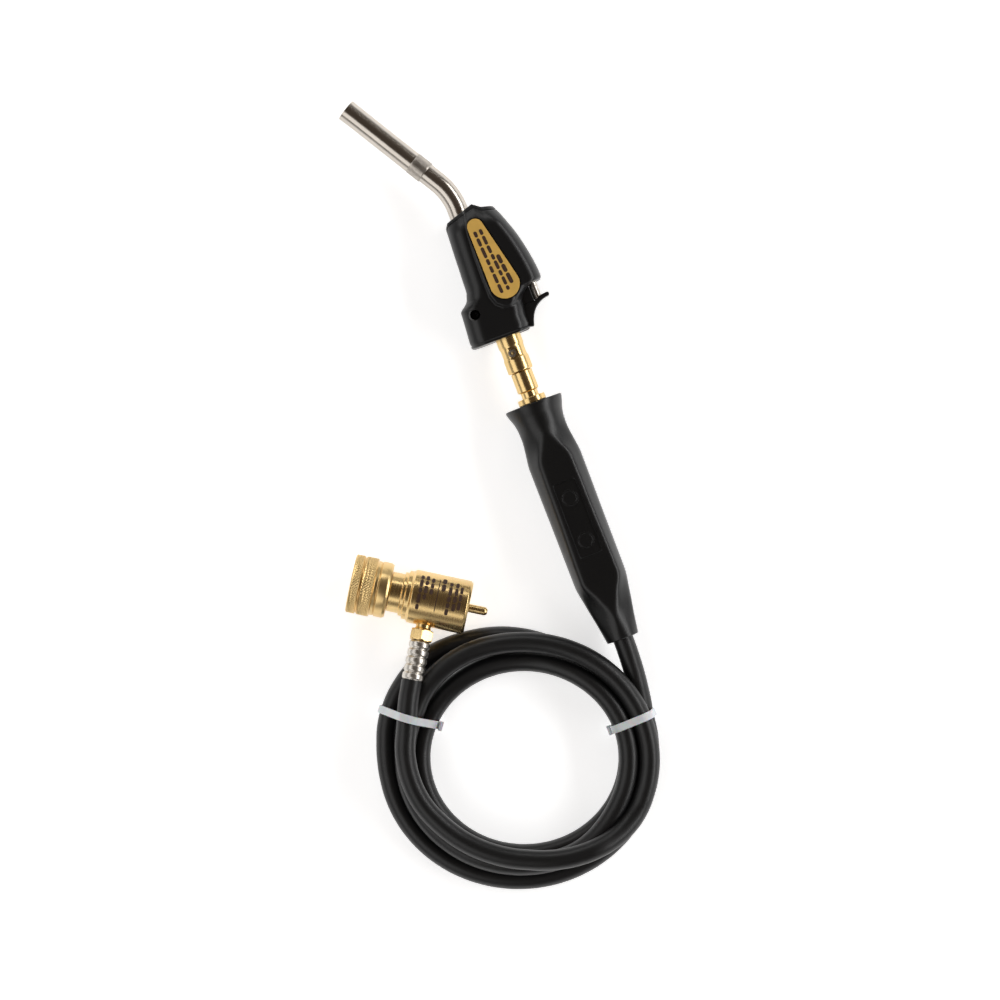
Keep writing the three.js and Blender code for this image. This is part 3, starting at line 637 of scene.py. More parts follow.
def post(x, y, side, radius, z0, z1):
    """A function that adds an upright cylinder, on one side of the parting plane."""
    def add(work):
        rows = []
        for z in (z0, z1):
            rows.append([Vector((x + p.x, y + p.z, side * p.y)) for p in circle(radius, z, 48)])
        add_rows(work, rows)
    return add


def make_casings(sizes):
    front = shell("casing_shell_front", True, sizes)
    back = shell("casing_shell_back", False, sizes)
    cut_by(front, cutter(lambda work: prism(work, plate_outline(0.35), POCKET_FLOOR, 25), TORCH))
    for _, x, y, side, _ in SCREWS:
        cut_by(front if side > 0 else back, cutter(post(x, y, side, SCREW_HOLE_R, 5, 25), TORCH))
    join(even(front), "head", "casing_black", "casing_front")
    join(even(back), "head", "casing_black", "casing_back")
    for name, x, y, side, top in SCREWS:
        to_screw = TORCH @ Matrix.Translation((x, y, 0)) @ Matrix.Rotation(side * math.pi / 2, 4, "X")
        well = [
            (0, 7.0), (3.7, 7.0), (3.7, top - 1.2), (SCREW_HOLE_R, top), (2.75, top - 0.2), (2.75, 7.2),
            (0, 7.2),
        ]
        cup = lathe(f"screw_well_{name}", well, to_screw, finish("casing_plastic"), 48, 0.15)
        join(cup, "head", "casing_black")
        head = [(0, 5.5), (1.2, 5.5), (1.2, 7.3), (2.4, 7.3), (2.4, 8.6), (1.7, 9.5), (0, 9.7)]
        screw = lathe(f"screw_head_{name}", head, to_screw, finish("steel_blackened"), 48, 0.25)
        for wide, high in ((1.6, 0.32), (0.32, 1.6)):
            def bar(work):
                corners = [(-wide, -high), (wide, -high), (wide, high), (-wide, high)]
                rows = []
                for depth, share in ((8.3, 0.35), (11, 1.0)):
                    rows.append([Vector((a * share, depth, b * share)) for a, b in corners])
                add_rows(work, rows)
            cut_by(screw, cutter(bar, to_screw))
        join(even(screw), "head", "steel", f"casing_screw_{name}")


def flat_at(z):
    """Lays a flat place at a height."""
    def rise(p, lift):
        return Vector((p.x, p.y, z + lift))
    return rise


def round_at(radius):
    """Wraps a flat place (round the body, along it) onto a round body."""
    def rise(p, lift):
        a = math.pi / 2 - p.x / radius
        return Vector(((radius + lift) * math.cos(a), p.y, (radius + lift) * math.sin(a)))
    return rise


def dash(work, start, end, height, thick, rise):
    """A short bar with round ends from start to end. rise moves each point onto a surface."""
    along = (end - start).normalized()
    across = Vector((-along.y, along.x))
    steps = 5
    radius = height / 2
    outline = []
    for k in range(steps * 2 + 1):
        a = math.pi / 2 + math.pi * k / (steps * 2)
        outline.append(start + along * (radius + radius * math.cos(a)) + across * radius * math.sin(a))
    middle = max(2, int((end - start).length))
    for k in range(1, middle):
        outline.append(start.lerp(end, k / middle) - across * radius)
    for k in range(steps * 2 + 1):
        a = -math.pi / 2 + math.pi * k / (steps * 2)
        outline.append(end + along * (-radius + radius * math.cos(a)) + across * radius * math.sin(a))
    for k in range(middle - 1, 0, -1):
        outline.append(start.lerp(end, k / middle) + across * radius)
    add_rows(work, [[rise(p, lift) for p in outline] for lift in (-thick, thick)])


def dashes(work, draws, start, end, height, lengths, gap, thick, rise):
    """A row of bars of uneven length, like the words of a line of print."""
    start, end = Vector(start), Vector(end)
    total = (end - start).length
    along = (end - start).normalized()
    at = 0.0
    while at < total - lengths[0] * 0.6:
        length = min(draws.uniform(*lengths), total - at)
        if length > height * 1.1:
            dash(work, start + along * at, start + along * (at + length), height, thick, rise)
        at += length + gap


def make_plate(sizes):
    work = bmesh.new()
    prism(work, plate_outline(-0.4), PLATE_UNDER, PLATE_TOP)
    plate = finished("gold_plate", work, TORCH, finish("plate_foil"))
    bevelled(plate, 0.2 * MM, 2)
    join(even(plate), "head", "label_gold", "label_plate")
    draws = random.Random(sizes.mark_seed)
    work = bmesh.new()
    # Each line: where it starts and ends, its height, shortest and longest bar, gap.
    for start, end, height, lengths, gap in (
        ((10.6, 84.0), (12.9, 65.4), 2.3, (4.5, 7.5), 0.5),
        ((6.5, 100.6), (9.6, 63.4), 1.9, (3.2, 7.2), 0.6),
        ((3.2, 100.4), (5.6, 63.0), 1.9, (3.2, 7.2), 0.6),
    ):
        dashes(work, draws, start, end, height, lengths, gap, 0.08, flat_at(PLATE_TOP))
    join(finished("plate_bars", work, TORCH, finish("bar_ink")), "head", "label_gold")


# ---------- swivel ----------
SET_SCREW_Y = 30


def make_swivel():
    brass = finish("brass_turned")
    sleeve = [
        (5.6, 19.0), (6.9, 19.0), (7.3, 19.7), (7.3, 26.6), (6.85, 28.0), (6.85, 33.0), (7.3, 34.4),
        (7.3, 52), (5.6, 52),
    ]
    piece = lathe("swivel_sleeve_fine", sleeve, TORCH, brass, 128, 0.3)
    piece.modifiers.clear()
    for radius, depth in ((2.5, 2), (3.7, 6.45)):
        cut_by(piece, cutter(post(TUBE_X, SET_SCREW_Y, 1, radius, depth, 12), TORCH))
    join(even(piece), "head", "brass", "swivel_sleeve")
    to_screw = TORCH @ Matrix.Translation((TUBE_X, SET_SCREW_Y, 0)) @ Matrix.Rotation(math.pi / 2, 4, "X")
    stud = [(0, 4.0), (2.3, 4.0), (2.3, 5.9), (0, 5.9)]
    screw = lathe("set_screw_fine", stud, to_screw, finish("steel_frosted"), 48, 0.3)
    screw.modifiers.clear()

    def socket(work):
        add_rows(work, [circle(1.15, 4.6, 6), circle(1.15, 8, 6)])

    cut_by(screw, cutter(socket, to_screw))
    join(even(screw), "head", "steel", "swivel_set_screw")
    barrel = [
        (1.8, -24), (4.9, -24), (4.9, 7.0), (6.2, 7.4), (6.2, 18.7), (5.2, 18.7), (5.2, 44), (1.8, 44),
    ]
    join(lathe("swivel_barrel_fine", barrel, TORCH, brass, 96, 0.35), "handle", "brass", "swivel_barrel")
    flange = [(5.2, 0.3), (8, 0.3), (8, 3.7), (5.2, 3.7)]
    join(lathe("barrel_flange_fine", flange, TORCH, brass, 96, 0.4), "handle", "brass", "barrel_flange")


# ---------- burner ----------
def tube_centre(length):
    """The burner tube's centre and heading, at a length along it from where its bend starts."""
    start = Vector((TUBE_X, BEND_CORNER - BEND_TANGENT, 0))
    arc = BEND_RADIUS * BEND_ANGLE
    if length <= 0:
        return start + Vector((0, length, 0)), Vector((0, 1, 0))
    turn = min(length / BEND_RADIUS, BEND_ANGLE)
    centre = start + Vector((-BEND_RADIUS * (1 - math.cos(turn)), BEND_RADIUS * math.sin(turn), 0))
    heading = Vector((-math.sin(turn), math.cos(turn), 0))
    return centre + heading * max(length - arc, 0), heading


def tube_rows(lengths, radius):
    """Rings round the burner tube, at lengths along it."""
    sides = 96
    rows = []
    for length in lengths:
        centre, heading = tube_centre(length)
        across = heading.cross(Vector((0, 0, 1)))
        row = []
        for i in range(sides):
            a = i / sides * math.tau
            row.append(centre + across * radius * math.cos(a) + Vector((0, 0, radius * math.sin(a))))
        rows.append(row)
    return rows


def crimped_rows():
    """The band round the flame tube's start, with its small dents."""
    sides, across = 96, 26
    dents = random.Random(DENT_SEED)
    waves = [(dents.uniform(3, 9), dents.uniform(0, 6), dents.uniform(0.6, 1.6)) for _ in range(5)]
    rows = []
    for k in range(across + 1):
        y = BAND_LENGTH * k / across
        near_end = min(y, BAND_LENGTH - y)
        ease = 0.18 * max(0, 1 - near_end / 0.8) ** 2

        def dented(a):
            dent = sum(math.sin(n * a + start + y * pace) for n, start, pace in waves) / len(waves)
            return BAND_R - ease - 0.05 * (1 - dent) - 0.04 * dents.random()

        rows.append(ring(y, sides, dented))
    return rows + [circle(BAND_INSIDE_R, BAND_LENGTH, sides), circle(BAND_INSIDE_R, 0, sides), rows[0]]


def make_burner():
    steel = finish("steel_bright")
    arc = BEND_RADIUS * BEND_ANGLE
    to_band = arc + FLAME_FROM - BEND_TANGENT
    first = TUBE_FROM - (BEND_CORNER - BEND_TANGENT)
    steps = 70
    lengths = [first + (to_band + BAND_LENGTH - 0.6 - first) * k / steps for k in range(steps + 1)]
    outer = tube_rows(lengths, TUBE_R)
    inner = tube_rows(list(reversed(lengths)), TUBE_R - 1)
    work = bmesh.new()
    add_rows(work, outer + inner + [outer[0]], ends=False)
    join(finished("bent_tube_fine", work, TORCH, steel), "head", "steel", "bent_tube")
    corner = Vector((TUBE_X, BEND_CORNER, 0))
    heading = Vector((-math.sin(BEND_ANGLE), math.cos(BEND_ANGLE), 0))
    to_start = Matrix.Translation(corner + heading * FLAME_FROM)
    on_flame = TORCH @ to_start @ Matrix.Rotation(BEND_ANGLE, 4, "Z")
    tip = FLAME_LENGTH
    flame = [
        (6.0, 0.4), (6.2, 0.4), (6.2, BAND_LENGTH), (6.25, tip - 9), (6.32, tip - 3), (6.45, tip),
        (5.85, tip), (5.7, tip - 4), (5.65, BAND_LENGTH), (6.0, BAND_LENGTH - 0.2),
    ]
    join(lathe("flame_tube_fine", flame, on_flame, steel, 128, 0.15), "head", "steel", "flame_tube")
    work = bmesh.new()
    add_rows(work, crimped_rows(), ends=False)
    join(finished("crimp_band", work, on_flame, finish("steel_frosted"), 60), "head", "steel")


# ---------- trigger ----------
STEM_X = 9.6
ROD_X = 23.5
ROD_R = 2.4
BLADE_HALF = 6
GUIDE_HALF = 5.4


def bezier(p0, p1, p2, p3, steps=16):
    """Places along a curve, without its first."""
    points = []
    for k in range(1, steps + 1):
        t = k / steps
        share = ((1 - t) ** 3, 3 * t * (1 - t) ** 2, 3 * t * t * (1 - t), t ** 3)
        x = sum(s * p[0] for s, p in zip(share, (p0, p1, p2, p3)))
        y = sum(s * p[1] for s, p in zip(share, (p0, p1, p2, p3)))
        points.append((x, y))
    return points


def make_trigger():
    outline = [(8.5, 41.8), (16.0, 39.9)]
    outline += bezier((16.0, 39.9), (17.6, 46.5), (21.2, 52.4), (29.3, 53.1))
    outline += bezier((29.3, 53.1), (30.5, 53.3), (30.5, 55.3), (29.2, 55.4), 8)
    outline += [(25.9, 55.1), (21.2, 53.2), (8.5, 53.2)]
    work = bmesh.new()
    prism(work, outline, -BLADE_HALF, BLADE_HALF)
    blade = finished("trigger_blade", work, TORCH, finish("casing_plastic"))
    bevelled(blade, 0.7 * MM, 4, 30)

    def spring_pocket(work):
        add_rows(work, [circle(3.1, 47.4, 48), circle(3.1, 58, 48)])

    cut_by(blade, cutter(spring_pocket, TORCH @ Matrix.Translation((STEM_X, 0, 0))))
    join(even(blade), "trigger", "casing_black", "trigger")
    work = bmesh.new()
    prism(work, [(13.9, 51), (21, 51), (21, 61.5), (13.9, 61.5)], -GUIDE_HALF, GUIDE_HALF)
    guide = finished("trigger_guide", work, TORCH, finish("casing_plastic"))
    bevelled(guide, 0.4 * MM, 3, 30)
    join(even(guide), "trigger", "casing_black")
    to_rod = TORCH @ Matrix.Translation((ROD_X, 0, 0))
    rod = [(0, 53.6), (ROD_R, 53.6), (ROD_R, 68), (0, 68)]
    piece = lathe("trigger_rod_fine", rod, to_rod, finish("nickel_plate"), 48, 0.3)
    join(piece, "trigger", "nickel", "trigger_push_rod")


# ---------- grip ----------
# The grip: place, half width, half height, half width of its flat top, share of facets in its section.
GRIP_KEYS = [
    (-141, 9.2, 9.2, 2, 0.0),
    (-130, 10.9, 10.9, 1, 0.6),
    (-116.5, 13.3, 12.4, 5.6, 1.0),
    (-104, 15.1, 13.4, 11.0, 1.0),
    (-70, 15.2, 13.6, 10.1, 1.0),
    (-35, 15.4, 13.6, 9.3, 1.0),
    (-24, 14.1, 13.4, 4.8, 0.85),
    (-18, 13.5, 13.4, 1.6, 0.5),
    (-13, 13.6, 13.6, 0.6, 0.1),
    (-8, 14.4, 14.4, 1, 0.0),
    (-3.5, 15.9, 15.9, 2, 0.0),
    (-0.5, 16.6, 16.6, 2, 0.0),
    (0, 16.2, 16.2, 2, 0.0),
]
GRIP_SHARPNESS = 18  # a higher number makes crisper facets
GRIP_SIDE_SHARE = 0.36  # the grip's upright sides, as a share of its half height
GRIP_SIDES = 144
GRIP_FROM, GRIP_TO = 0, -141
GRIP_TOP = 13.6
RECESS = {"half": 6.8, "from": -47, "to": -91, "depth": 0.8, "corner": 1.2, "draft": 0.6}
PADS = (-57, -82)


def grip_row(y):
    """One section of the grip: an oval, drawn towards facets with eased edges."""
    wide, high, flat, facets = monotone(GRIP_KEYS, y)
    side = high * GRIP_SIDE_SHARE
    slope = Vector((high - side, wide - flat)).normalized()
    reach = slope.x * wide + slope.y * side

    def radius(a):
        c, s = abs(math.cos(a)), abs(math.sin(a))
        faces = (c / wide, s / high, (slope.x * c + slope.y * s) / reach)
        faceted = sum(f ** GRIP_SHARPNESS for f in faces) ** (-1 / GRIP_SHARPNESS)
        oval = 1 / math.hypot(c / wide, s / high)
        return oval + (faceted - oval) * facets

    return ring(y, GRIP_SIDES, radius)


def make_grip():
    rows = [circle(5.4, -12, GRIP_SIDES), circle(5.4, GRIP_FROM, GRIP_SIDES), grip_row(GRIP_FROM)]
    count = 150
    for k in range(count + 1):
        rows.append(grip_row(-0.4 - 140.2 * k / count))
    rows.append([Vector((p.x * 0.96, p.y, p.z * 0.96)) for p in grip_row(GRIP_TO)])
    rows += [circle(6.0, GRIP_TO, GRIP_SIDES), circle(6.0, -128, GRIP_SIDES)]
    work = bmesh.new()
    add_rows(work, rows + [rows[0]], ends=False)
    piece = finished("grip_fine", work, TORCH, finish("grip_plastic"), 40)
    half, depth, corner, draft = (RECESS[key] for key in ("half", "depth", "corner", "draft"))
    outline = []
    for cx, cy, start in (
        (half - corner, RECESS["from"] - corner, 0),
        (corner - half, RECESS["from"] - corner, 90),
        (corner - half, RECESS["to"] + corner, 180),
        (half - corner, RECESS["to"] + corner, 270),
    ):
        for k in range(7):
            a = math.radians(start + 15 * k)
            outline.append((cx + corner * math.cos(a), cy + corner * math.sin(a)))
    middle = (RECESS["from"] + RECESS["to"]) / 2
    narrow, short = 1 - draft / half, 1 - draft / (RECESS["from"] - middle)

    def recess(work):
        floor = [(x * narrow, middle + (y - middle) * short) for x, y in outline]
        levels = ((floor, GRIP_TOP - depth), (outline, GRIP_TOP), (outline, GRIP_TOP + 5))
        add_rows(work, [[Vector((x, y, z)) for x, y in shape] for shape, z in levels])

    cut_by(piece, cutter(recess, TORCH))
    join(even(piece), "handle", "grip_black", "grip")
    for number, y in enumerate(PADS, 1):
        to_pad = TORCH @ Matrix.Translation((0, y, 0)) @ Matrix.Rotation(math.pi / 2, 4, "X")
        base = GRIP_TOP - depth
        pad = [
            (0, base - 0.5), (5.0, base - 0.5), (5.0, base + 0.35), (4.3, base + 0.35), (4.2, base + 0.15),
            (3.7, base + 0.15), (3.6, base + 0.4), (0, base + 0.45),
        ]
        piece = lathe(f"grip_pad_{number}", pad, to_pad, finish("grip_plastic"), 64, 0.12)
        join(piece, "handle", "grip_black")


# ---------- hose and ties ----------
COIL_TILT = math.radians(-20.9)
# The coil's outer and inner ovals: centre x and y, half width, half height.
COIL_OUTER = (-78.6, -183.4, 79.1, 73.9)
COIL_INNER = (-75.5, -184.3, 52.8, 48.6)
HOSE_R = 5.8
# The hose's first stretch, from inside the grip.
HANDLE_TAIL = [
    (0, -118, 16.7), (0, -130, 16.7), (0, -141, 16.7), (-0.2, -150, 16.2), (-0.7, -159, 14.8),
    (-1.6, -168, 13), (-2.8, -177, 10.9),
]
# The coil: turned angle, share of the way from the inside to the outside, height.
WINDING = [
    (20, 1.13, 8.8), (0, 1, 6.2), (-45, 1, 5.9), (-165, 1, 6.1), (-180, 1.04, 6.3), (-201.5, 1.23, 7.1),
    (-230, 1.36, 6.2), (-248, 1.2, 5.9), (-264, 1.04, 5.9), (-277, 0.86, 5.9), (-290, 0.66, 5.9),
    (-310, 0.36, 6.0), (-330, 0.1, 6.6), (-345, 0, 7.0),
    (-365, 0, 6.3), (-405, 0, 5.9), (-495, 0, 5.9), (-540, 0, 6.3), (-561.5, 0, 7.1), (-590, 0, 6.8),
    (-630, 0, 9.5), (-650, 0, 13.5), (-670, 0, 16.9), (-700, 0, 18.7), (-720, 0, 18.2), (-745, 0.06, 17.4),
    (-765, 0.22, 16.9), (-780, 0.36, 16.5), (-810, 0.38, 16.4), (-855, 0.42, 15.5), (-880, 0.45, 14.8),
    (-921.5, 0.5, 14.8), (-935, 0.62, 15.0), (-949, 0.73, 15.6), (-968, 0.79, 16.7), (-985, 0.80, 18.2),
    (-1010, 0.86, 20.0), (-1030, 0.92, 21.1), (-1060, 0.96, 20.9), (-1080, 0.99, 19.4), (-1105, 0.99, 18.6),
    (-1120, 0.84, 22.6), (-1137, 0.53, 27.5), (-1155, 0.25, 27.9), (-1170, 0.09, 27.4), (-1190, 0.04, 26.8),
    (-1215, 0.10, 26.1), (-1235, 0.25, 26.0), (-1255, 0.39, 26.2), (-1281.5, 0.6, 26.2),
]
WINDING_STEP = 9
REGULATOR_TAIL = (-125.0, -131.6, 24.6)
FERRULE_END = 46.7
# The cable ties: coil angle, and the strands in each as (share of the way out, height).
TIES = {
    "right": (20, [(1.13, 8.8), (0, 7), (0, 18.7), (0.96, 20.9)]),
    "left": (158.5, [(1.23, 7.1), (0, 7.1), (0.5, 14.8), (0.6, 26.2)]),
}


def coil_point(turn, share, height):
    """A place in the coil: its angle in the coil's own tilted frame, and its share of the way out."""
    a = math.radians(turn)
    ends = []
    for (x, y, wide, high), margin in ((COIL_INNER, HOSE_R), (COIL_OUTER, -HOSE_R)):
        flat = Vector(((wide + margin) * math.cos(a), (high + margin) * math.sin(a), 0))
        ends.append(Vector((x, y, 0)) + Matrix.Rotation(COIL_TILT, 3, "Z") @ flat)
    point = ends[0] + (ends[1] - ends[0]) * share
    point.z = height
    return point


def hose_route():
    """The places that the hose runs through, from inside the grip to inside the ferrule."""
    points = [Vector(p) for p in HANDLE_TAIL]
    keys = [(-turn, share, height) for turn, share, height in WINDING]
    turn = keys[0][0]
    while turn <= keys[-1][0]:
        share, height = monotone(keys, turn)
        points.append(coil_point(-turn, share, height))
        turn += WINDING_STEP
    points.append(Vector(REGULATOR_TAIL))
    points = [GROUND @ p for p in points]
    points.append(OUTLET @ Vector((0, FERRULE_END, 0)))
    return points


def make_hose(sizes):
    points = hose_route()
    line = bpy.data.curves.new("gas_hose", "CURVE")
    line.dimensions = "3D"
    line.resolution_u = 4
    line.bevel_depth = sizes.hose_diameter / 2
    line.bevel_resolution = 8
    line.use_fill_caps = True
    spline = line.splines.new("BEZIER")
    spline.bezier_points.add(len(points) - 1)
    for spot, point in zip(spline.bezier_points, points):
        spot.co = point
        spot.handle_left_type = "AUTO"
        spot.handle_right_type = "AUTO"
    line.materials.append(finish("hose_skin"))
    hose = bpy.data.objects.new("gas_hose", line)
    bpy.context.scene.collection.objects.link(hose)
    join(hose, "handle", "hose_rubber", "hose_handle_tail", "hose_coil", "hose_regulator_tail")
    ties = [make_tie(name, sizes) for name in TIES]


def tie_loop(strands, middle, margin, count):
    """A loop round the strands, margin away from them, in the tie's own plane."""
    fans = [math.tau * k / 240 for k in range(240)]
    normals = [(math.cos(a), math.sin(a)) for a in fans]
    radius = bpy.context.scene.torch_sizes.hose_diameter / 2 / MM
    reach = []
    for nx, nz in normals:
        farthest = max(nx * (x - middle[0]) + nz * (z - middle[1]) for x, z in strands)
        reach.append(farthest + radius + margin)
    loop = []
    for k in range(count):
        a = math.tau * k / count
        cx, cz = math.cos(a), math.sin(a)
        facing = [(nx * cx + nz * cz, h) for (nx, nz), h in zip(normals, reach)]
        far = min(h / share for share, h in facing if share > 0.02)
        loop.append((middle[0] + far * cx, middle[1] + far * cz))
    return loop


def make_tie(name, sizes):
    """A cable tie: its band round the strands, with its head on the coil's inner side."""
    turn, strands = TIES[name]
    inner = coil_point(turn, 0, 0)
    outer = coil_point(turn, 1, 0)
    outward = (outer - inner).normalized()
    ahead = Vector((-outward.y, outward.x, 0))
    flat = [((coil_point(turn, share, z) - inner).dot(outward), z) for share, z in strands]
    middle = (sum(x for x, _ in flat) / len(flat), sum(z for _, z in flat) / len(flat))
    thick = sizes.tie_thickness / MM
    half = sizes.tie_width / MM / 2
    gap = 0.12
    count = 200
    soft = 0.35
    near = tie_loop(flat, middle, gap, count)
    far = tie_loop(flat, middle, gap + thick, count)
    rim = [
        (0, -half + soft), (0, half - soft), (soft / thick, half), (1 - soft / thick, half),
        (1, half - soft), (1, -half + soft), (1 - soft / thick, -half), (soft / thick, -half),
    ]

    def place(x, z, across):
        return inner + outward * x + ahead * across + Vector((0, 0, z))

    work = bmesh.new()
    rows = []
    for (nx, nz), (fx, fz) in zip(near, far):
        row = []
        for share, across in rim:
            row.append(place(nx + (fx - nx) * share, max(nz + (fz - nz) * share, 0.02), across))
        rows.append(row)
    add_rows(work, rows + [rows[0]], ends=False)
    head_x = min(x for x, _ in far)
    head_z = 9.5
    head_top = head_z + 2.6
    # The tie's head and the stub of its tail: from and to outward, from and to upward, half width.
    for x0, x1, z0, z1, wide in (
        (head_x - 1.9, head_x + 0.4, head_z - 2.6, head_top, half + 0.4),
        (head_x - 1.4, head_x - 0.3, head_top, head_top + 1.2, half - 0.2),
    ):
        corners = [(x0, z0), (x1, z0), (x1, z1), (x0, z1)]
        add_rows(work, [[place(x, z, across) for x, z in corners] for across in (-wide, wide)])
    tie = finished(f"tie_band_{name}", work, GROUND, finish("tie_nylon"), 40)
    return join(even(tie), "handle", "nylon", f"cable_tie_{name}")


# ---------- regulator ----------
BODY_R = 15.2
SOCKET_R = 12.6


def knurled(work, sizes):
    """The coupling nut, with two bands of diamonds."""
    pitch, depth = sizes.knurl_pitch / MM, sizes.knurl_depth / MM
    radius = 16.6
    diamonds = int(math.tau * radius / pitch)
    sides = diamonds * 5
    profile = eased([(SOCKET_R, 0), (15.9, 0), (16.5, 0.6)], 0.2)
    bands = [(0.6, 5.0), (6.4, 12.8)]

    def band(y0, y1):
        steps = max(4, int((y1 - y0) / pitch * 5))
        rows = []
        for k in range(steps + 1):
            y = y0 + (y1 - y0) * k / steps
            fade = blend(0, 0.5, y - y0) * blend(0, 0.5, y1 - y)

            def cut(a):
                u, v = a * diamonds / math.tau, y / pitch
                height = min(1 - abs((w % 1) * 2 - 1) for w in (u + v, u - v))
                return radius - depth * (1 - min(height * 1.5, 1)) * fade

            rows.append(ring(y, sides, cut))
        return rows

    rows = [circle(r, y, sides) for r, y in profile]
    rows += band(*bands[0])
    rows += [circle(r, y, sides) for r, y in [(16.3, 5.2), (15.8, 5.45), (15.8, 5.95), (16.3, 6.2)]]
    rows += band(*bands[1])
    collar = [
        (16.2, 13.1), (15.4, 13.4), (15.4, 15.1), (15.05, 15.3), (15.05, 15.6), (15.7, 15.9), (15.7, 20.4),
        (14.9, 21.9), (8.0, 21.9), (8.0, 15), (SOCKET_R, 15),
    ]
    rows += [circle(r, y, sides) for r, y in eased(collar, 0.25)[1:-1]]
    for k in range(60):
        y = 14.6 - 13.4 * k / 59
        rows.append(circle(SOCKET_R + 0.35 * math.cos(k * math.pi / 3), y, sides))
    add_rows(work, rows + [rows[0]], ends=False)


def make_regulator(sizes):
    brass = finish("brass_regulator")
    work = bmesh.new()
    knurled(work, sizes)
    nut = finished("coupling_nut_knurled", work, REGULATOR, finish("brass_knurl"), 40)
    join(nut, "coupling_nut", "brass", "coupling_nut")
    body = [
        (0, 22.2), (11.3, 22.2), (11.3, 28.9), (12.5, 29.1), (12.5, 31), (13.9, 31.3), (13.9, 33.7),
        (BODY_R, 34.9), (BODY_R, 66), (13.9, 67.4), (4.2, 67.4), (4.0, 66.6), (0, 66.6),
    ]
    housing = lathe("regulator_housing", body, REGULATOR, brass, 160, 0.35)
    join(housing, "handle", "brass", "regulator_body")
    stem = [
        (0, 7.5), (4.2, 7.5), (4.2, 11), (10.3, 11), (10.3, 14.6), (7.6, 14.6), (7.6, 22.4), (0, 22.4),
    ]
    join(lathe("inlet_stem_fine", stem, REGULATOR, brass, 96, 0.3), "handle", "brass", "inlet_stem")
    pin = [(0, 66), (2.4, 66), (2.4, 76.6), (1.5, 78), (0, 78)]
    join(lathe("spindle_fine", pin, REGULATOR, brass, 64, 0.3), "spindle", "brass", "adjusting_spindle")
    draws = random.Random(sizes.mark_seed + 1)
    work = bmesh.new()
    # Each line: its place along the body, from, to (round the body), height, shortest and longest bar.
    for y, start, end, height, lengths in (
        (39.0, 6.6, -15.2, 1.9, (2.6, 5.6)),
        (42.0, 0.2, -15.2, 1.9, (2.4, 4.6)),
        (45.2, -3.3, -14.8, 1.9, (2.4, 4.2)),
        (48.9, 6.0, -15.5, 0.45, (3.4, 4.2)),
        (51.6, -6.6, -15.5, 2.4, (4.0, 5.2)),
        (55.6, 6.5, -15.5, 1.9, (2.6, 5.4)),
        (59.0, 3.4, -15.2, 1.9, (2.6, 5.4)),
        (61.8, 2.2, -13.8, 1.7, (2.6, 5.4)),
    ):
        gap = 0.5 if height > 1 else -0.3
        dashes(work, draws, (start, y), (end, y), height, lengths, gap, 0.2, round_at(BODY_R))
    join(finished("regulator_bars", work, REGULATOR, finish("bar_ink")), "handle", "brass")


def hex_rows(flats, from_y, to_y, corner, chamfer, sides):
    """Rows of a six-sided nut whose corners are turned off at both ends."""
    rows = []
    low, full = corner - chamfer, corner
    for y, limit in ((from_y, low), (from_y + 0.7, full), (to_y - 0.7, full), (to_y, low)):

        def radius(a):
            turn = (a + math.pi / 6) % (math.pi / 3) - math.pi / 6
            return min(flats / math.cos(turn), limit)

        rows.append(ring(y, sides, radius))
    return rows


def make_outlet():
    work = bmesh.new()
    sides = 96
    rows = [circle(4.3, 12, sides), circle(4.3, 16.4, sides), circle(4.9, 17.4, sides)]
    rows += hex_rows(6.15, 17.5, 23.7, 7.1, 0.8, sides)
    rows += [circle(5.2, 23.9, sides)]
    add_rows(work, rows)
    fitting = finished("outlet_hex", work, OUTLET, finish("brass_regulator"), 30)
    bevelled(fitting, 0.12 * MM, 2, 30)
    join(even(fitting), "handle", "brass", "outlet_fitting")
    start, end, ribs = 24.0, 46.4, 5
    pitch = (end - start) / ribs
    profile = [(0, start)]
    for k in range(ribs):
        at = start + pitch * k
        profile += [(5.25, at), (5.35, at + 0.35), (6.0, at + 0.9)]
        profile += [(6.0, at + pitch - 0.9), (5.35, at + pitch - 0.35)]
    profile += [(5.6, end), (0, end)]
    ferrule = lathe("hose_ferrule_ribbed", profile, OUTLET, finish("nickel_plate"), 96, 0.4)
    join(ferrule, "handle", "nickel", "regulator_hose_ferrule")


# ---------- stage ----------
def make_camera():
    data = bpy.data.cameras.new("camera")
    camera = bpy.data.objects.new("camera", data)
    bpy.context.scene.collection.objects.link(camera)
    x, y = TORCH_AT.x + VIEW_CENTRE[0] * MM, TORCH_AT.y + VIEW_CENTRE[1] * MM
    camera.location = (x, y, CAMERA_HEIGHT)
    camera.rotation_euler = (0, 0, VIEW_TURN)
    data.sensor_width = 36
    data.lens = data.sensor_width * (CAMERA_HEIGHT - TORCH_AT.z) / VIEW_WIDTH
    data.clip_end = 20
    bpy.context.scene.camera = camera


# Each soft light: name, place, size along and across, power.
LIGHTS = [
    ("light_left", (-0.98, -0.1, 1.08), (2.4, 1.0), 9.5),
    ("light_right", (1.2, -0.3, 0.8), (2.2, 0.42), 14),
    ("light_back", (0.1, 1.35, 0.9), (1.6, 0.35), 5),
]
LIGHT_TARGET = Vector((0.0, -0.05, 0))


def soft_light(name, place, size, power):
    """A large lamp that the camera doesn't see, turned to the middle of the floor."""
    data = bpy.data.lights.new(name, "AREA")
    data.shape = "RECTANGLE"
    data.size, data.size_y = size
    data.energy = power
    lamp = bpy.data.objects.new(name, data)
    bpy.context.scene.collection.objects.link(lamp)
    lamp.location = place
    lamp.visible_camera = False
    lamp.rotation_euler = (LIGHT_TARGET - Vector(place)).to_track_quat("-Z", "Y").to_euler()


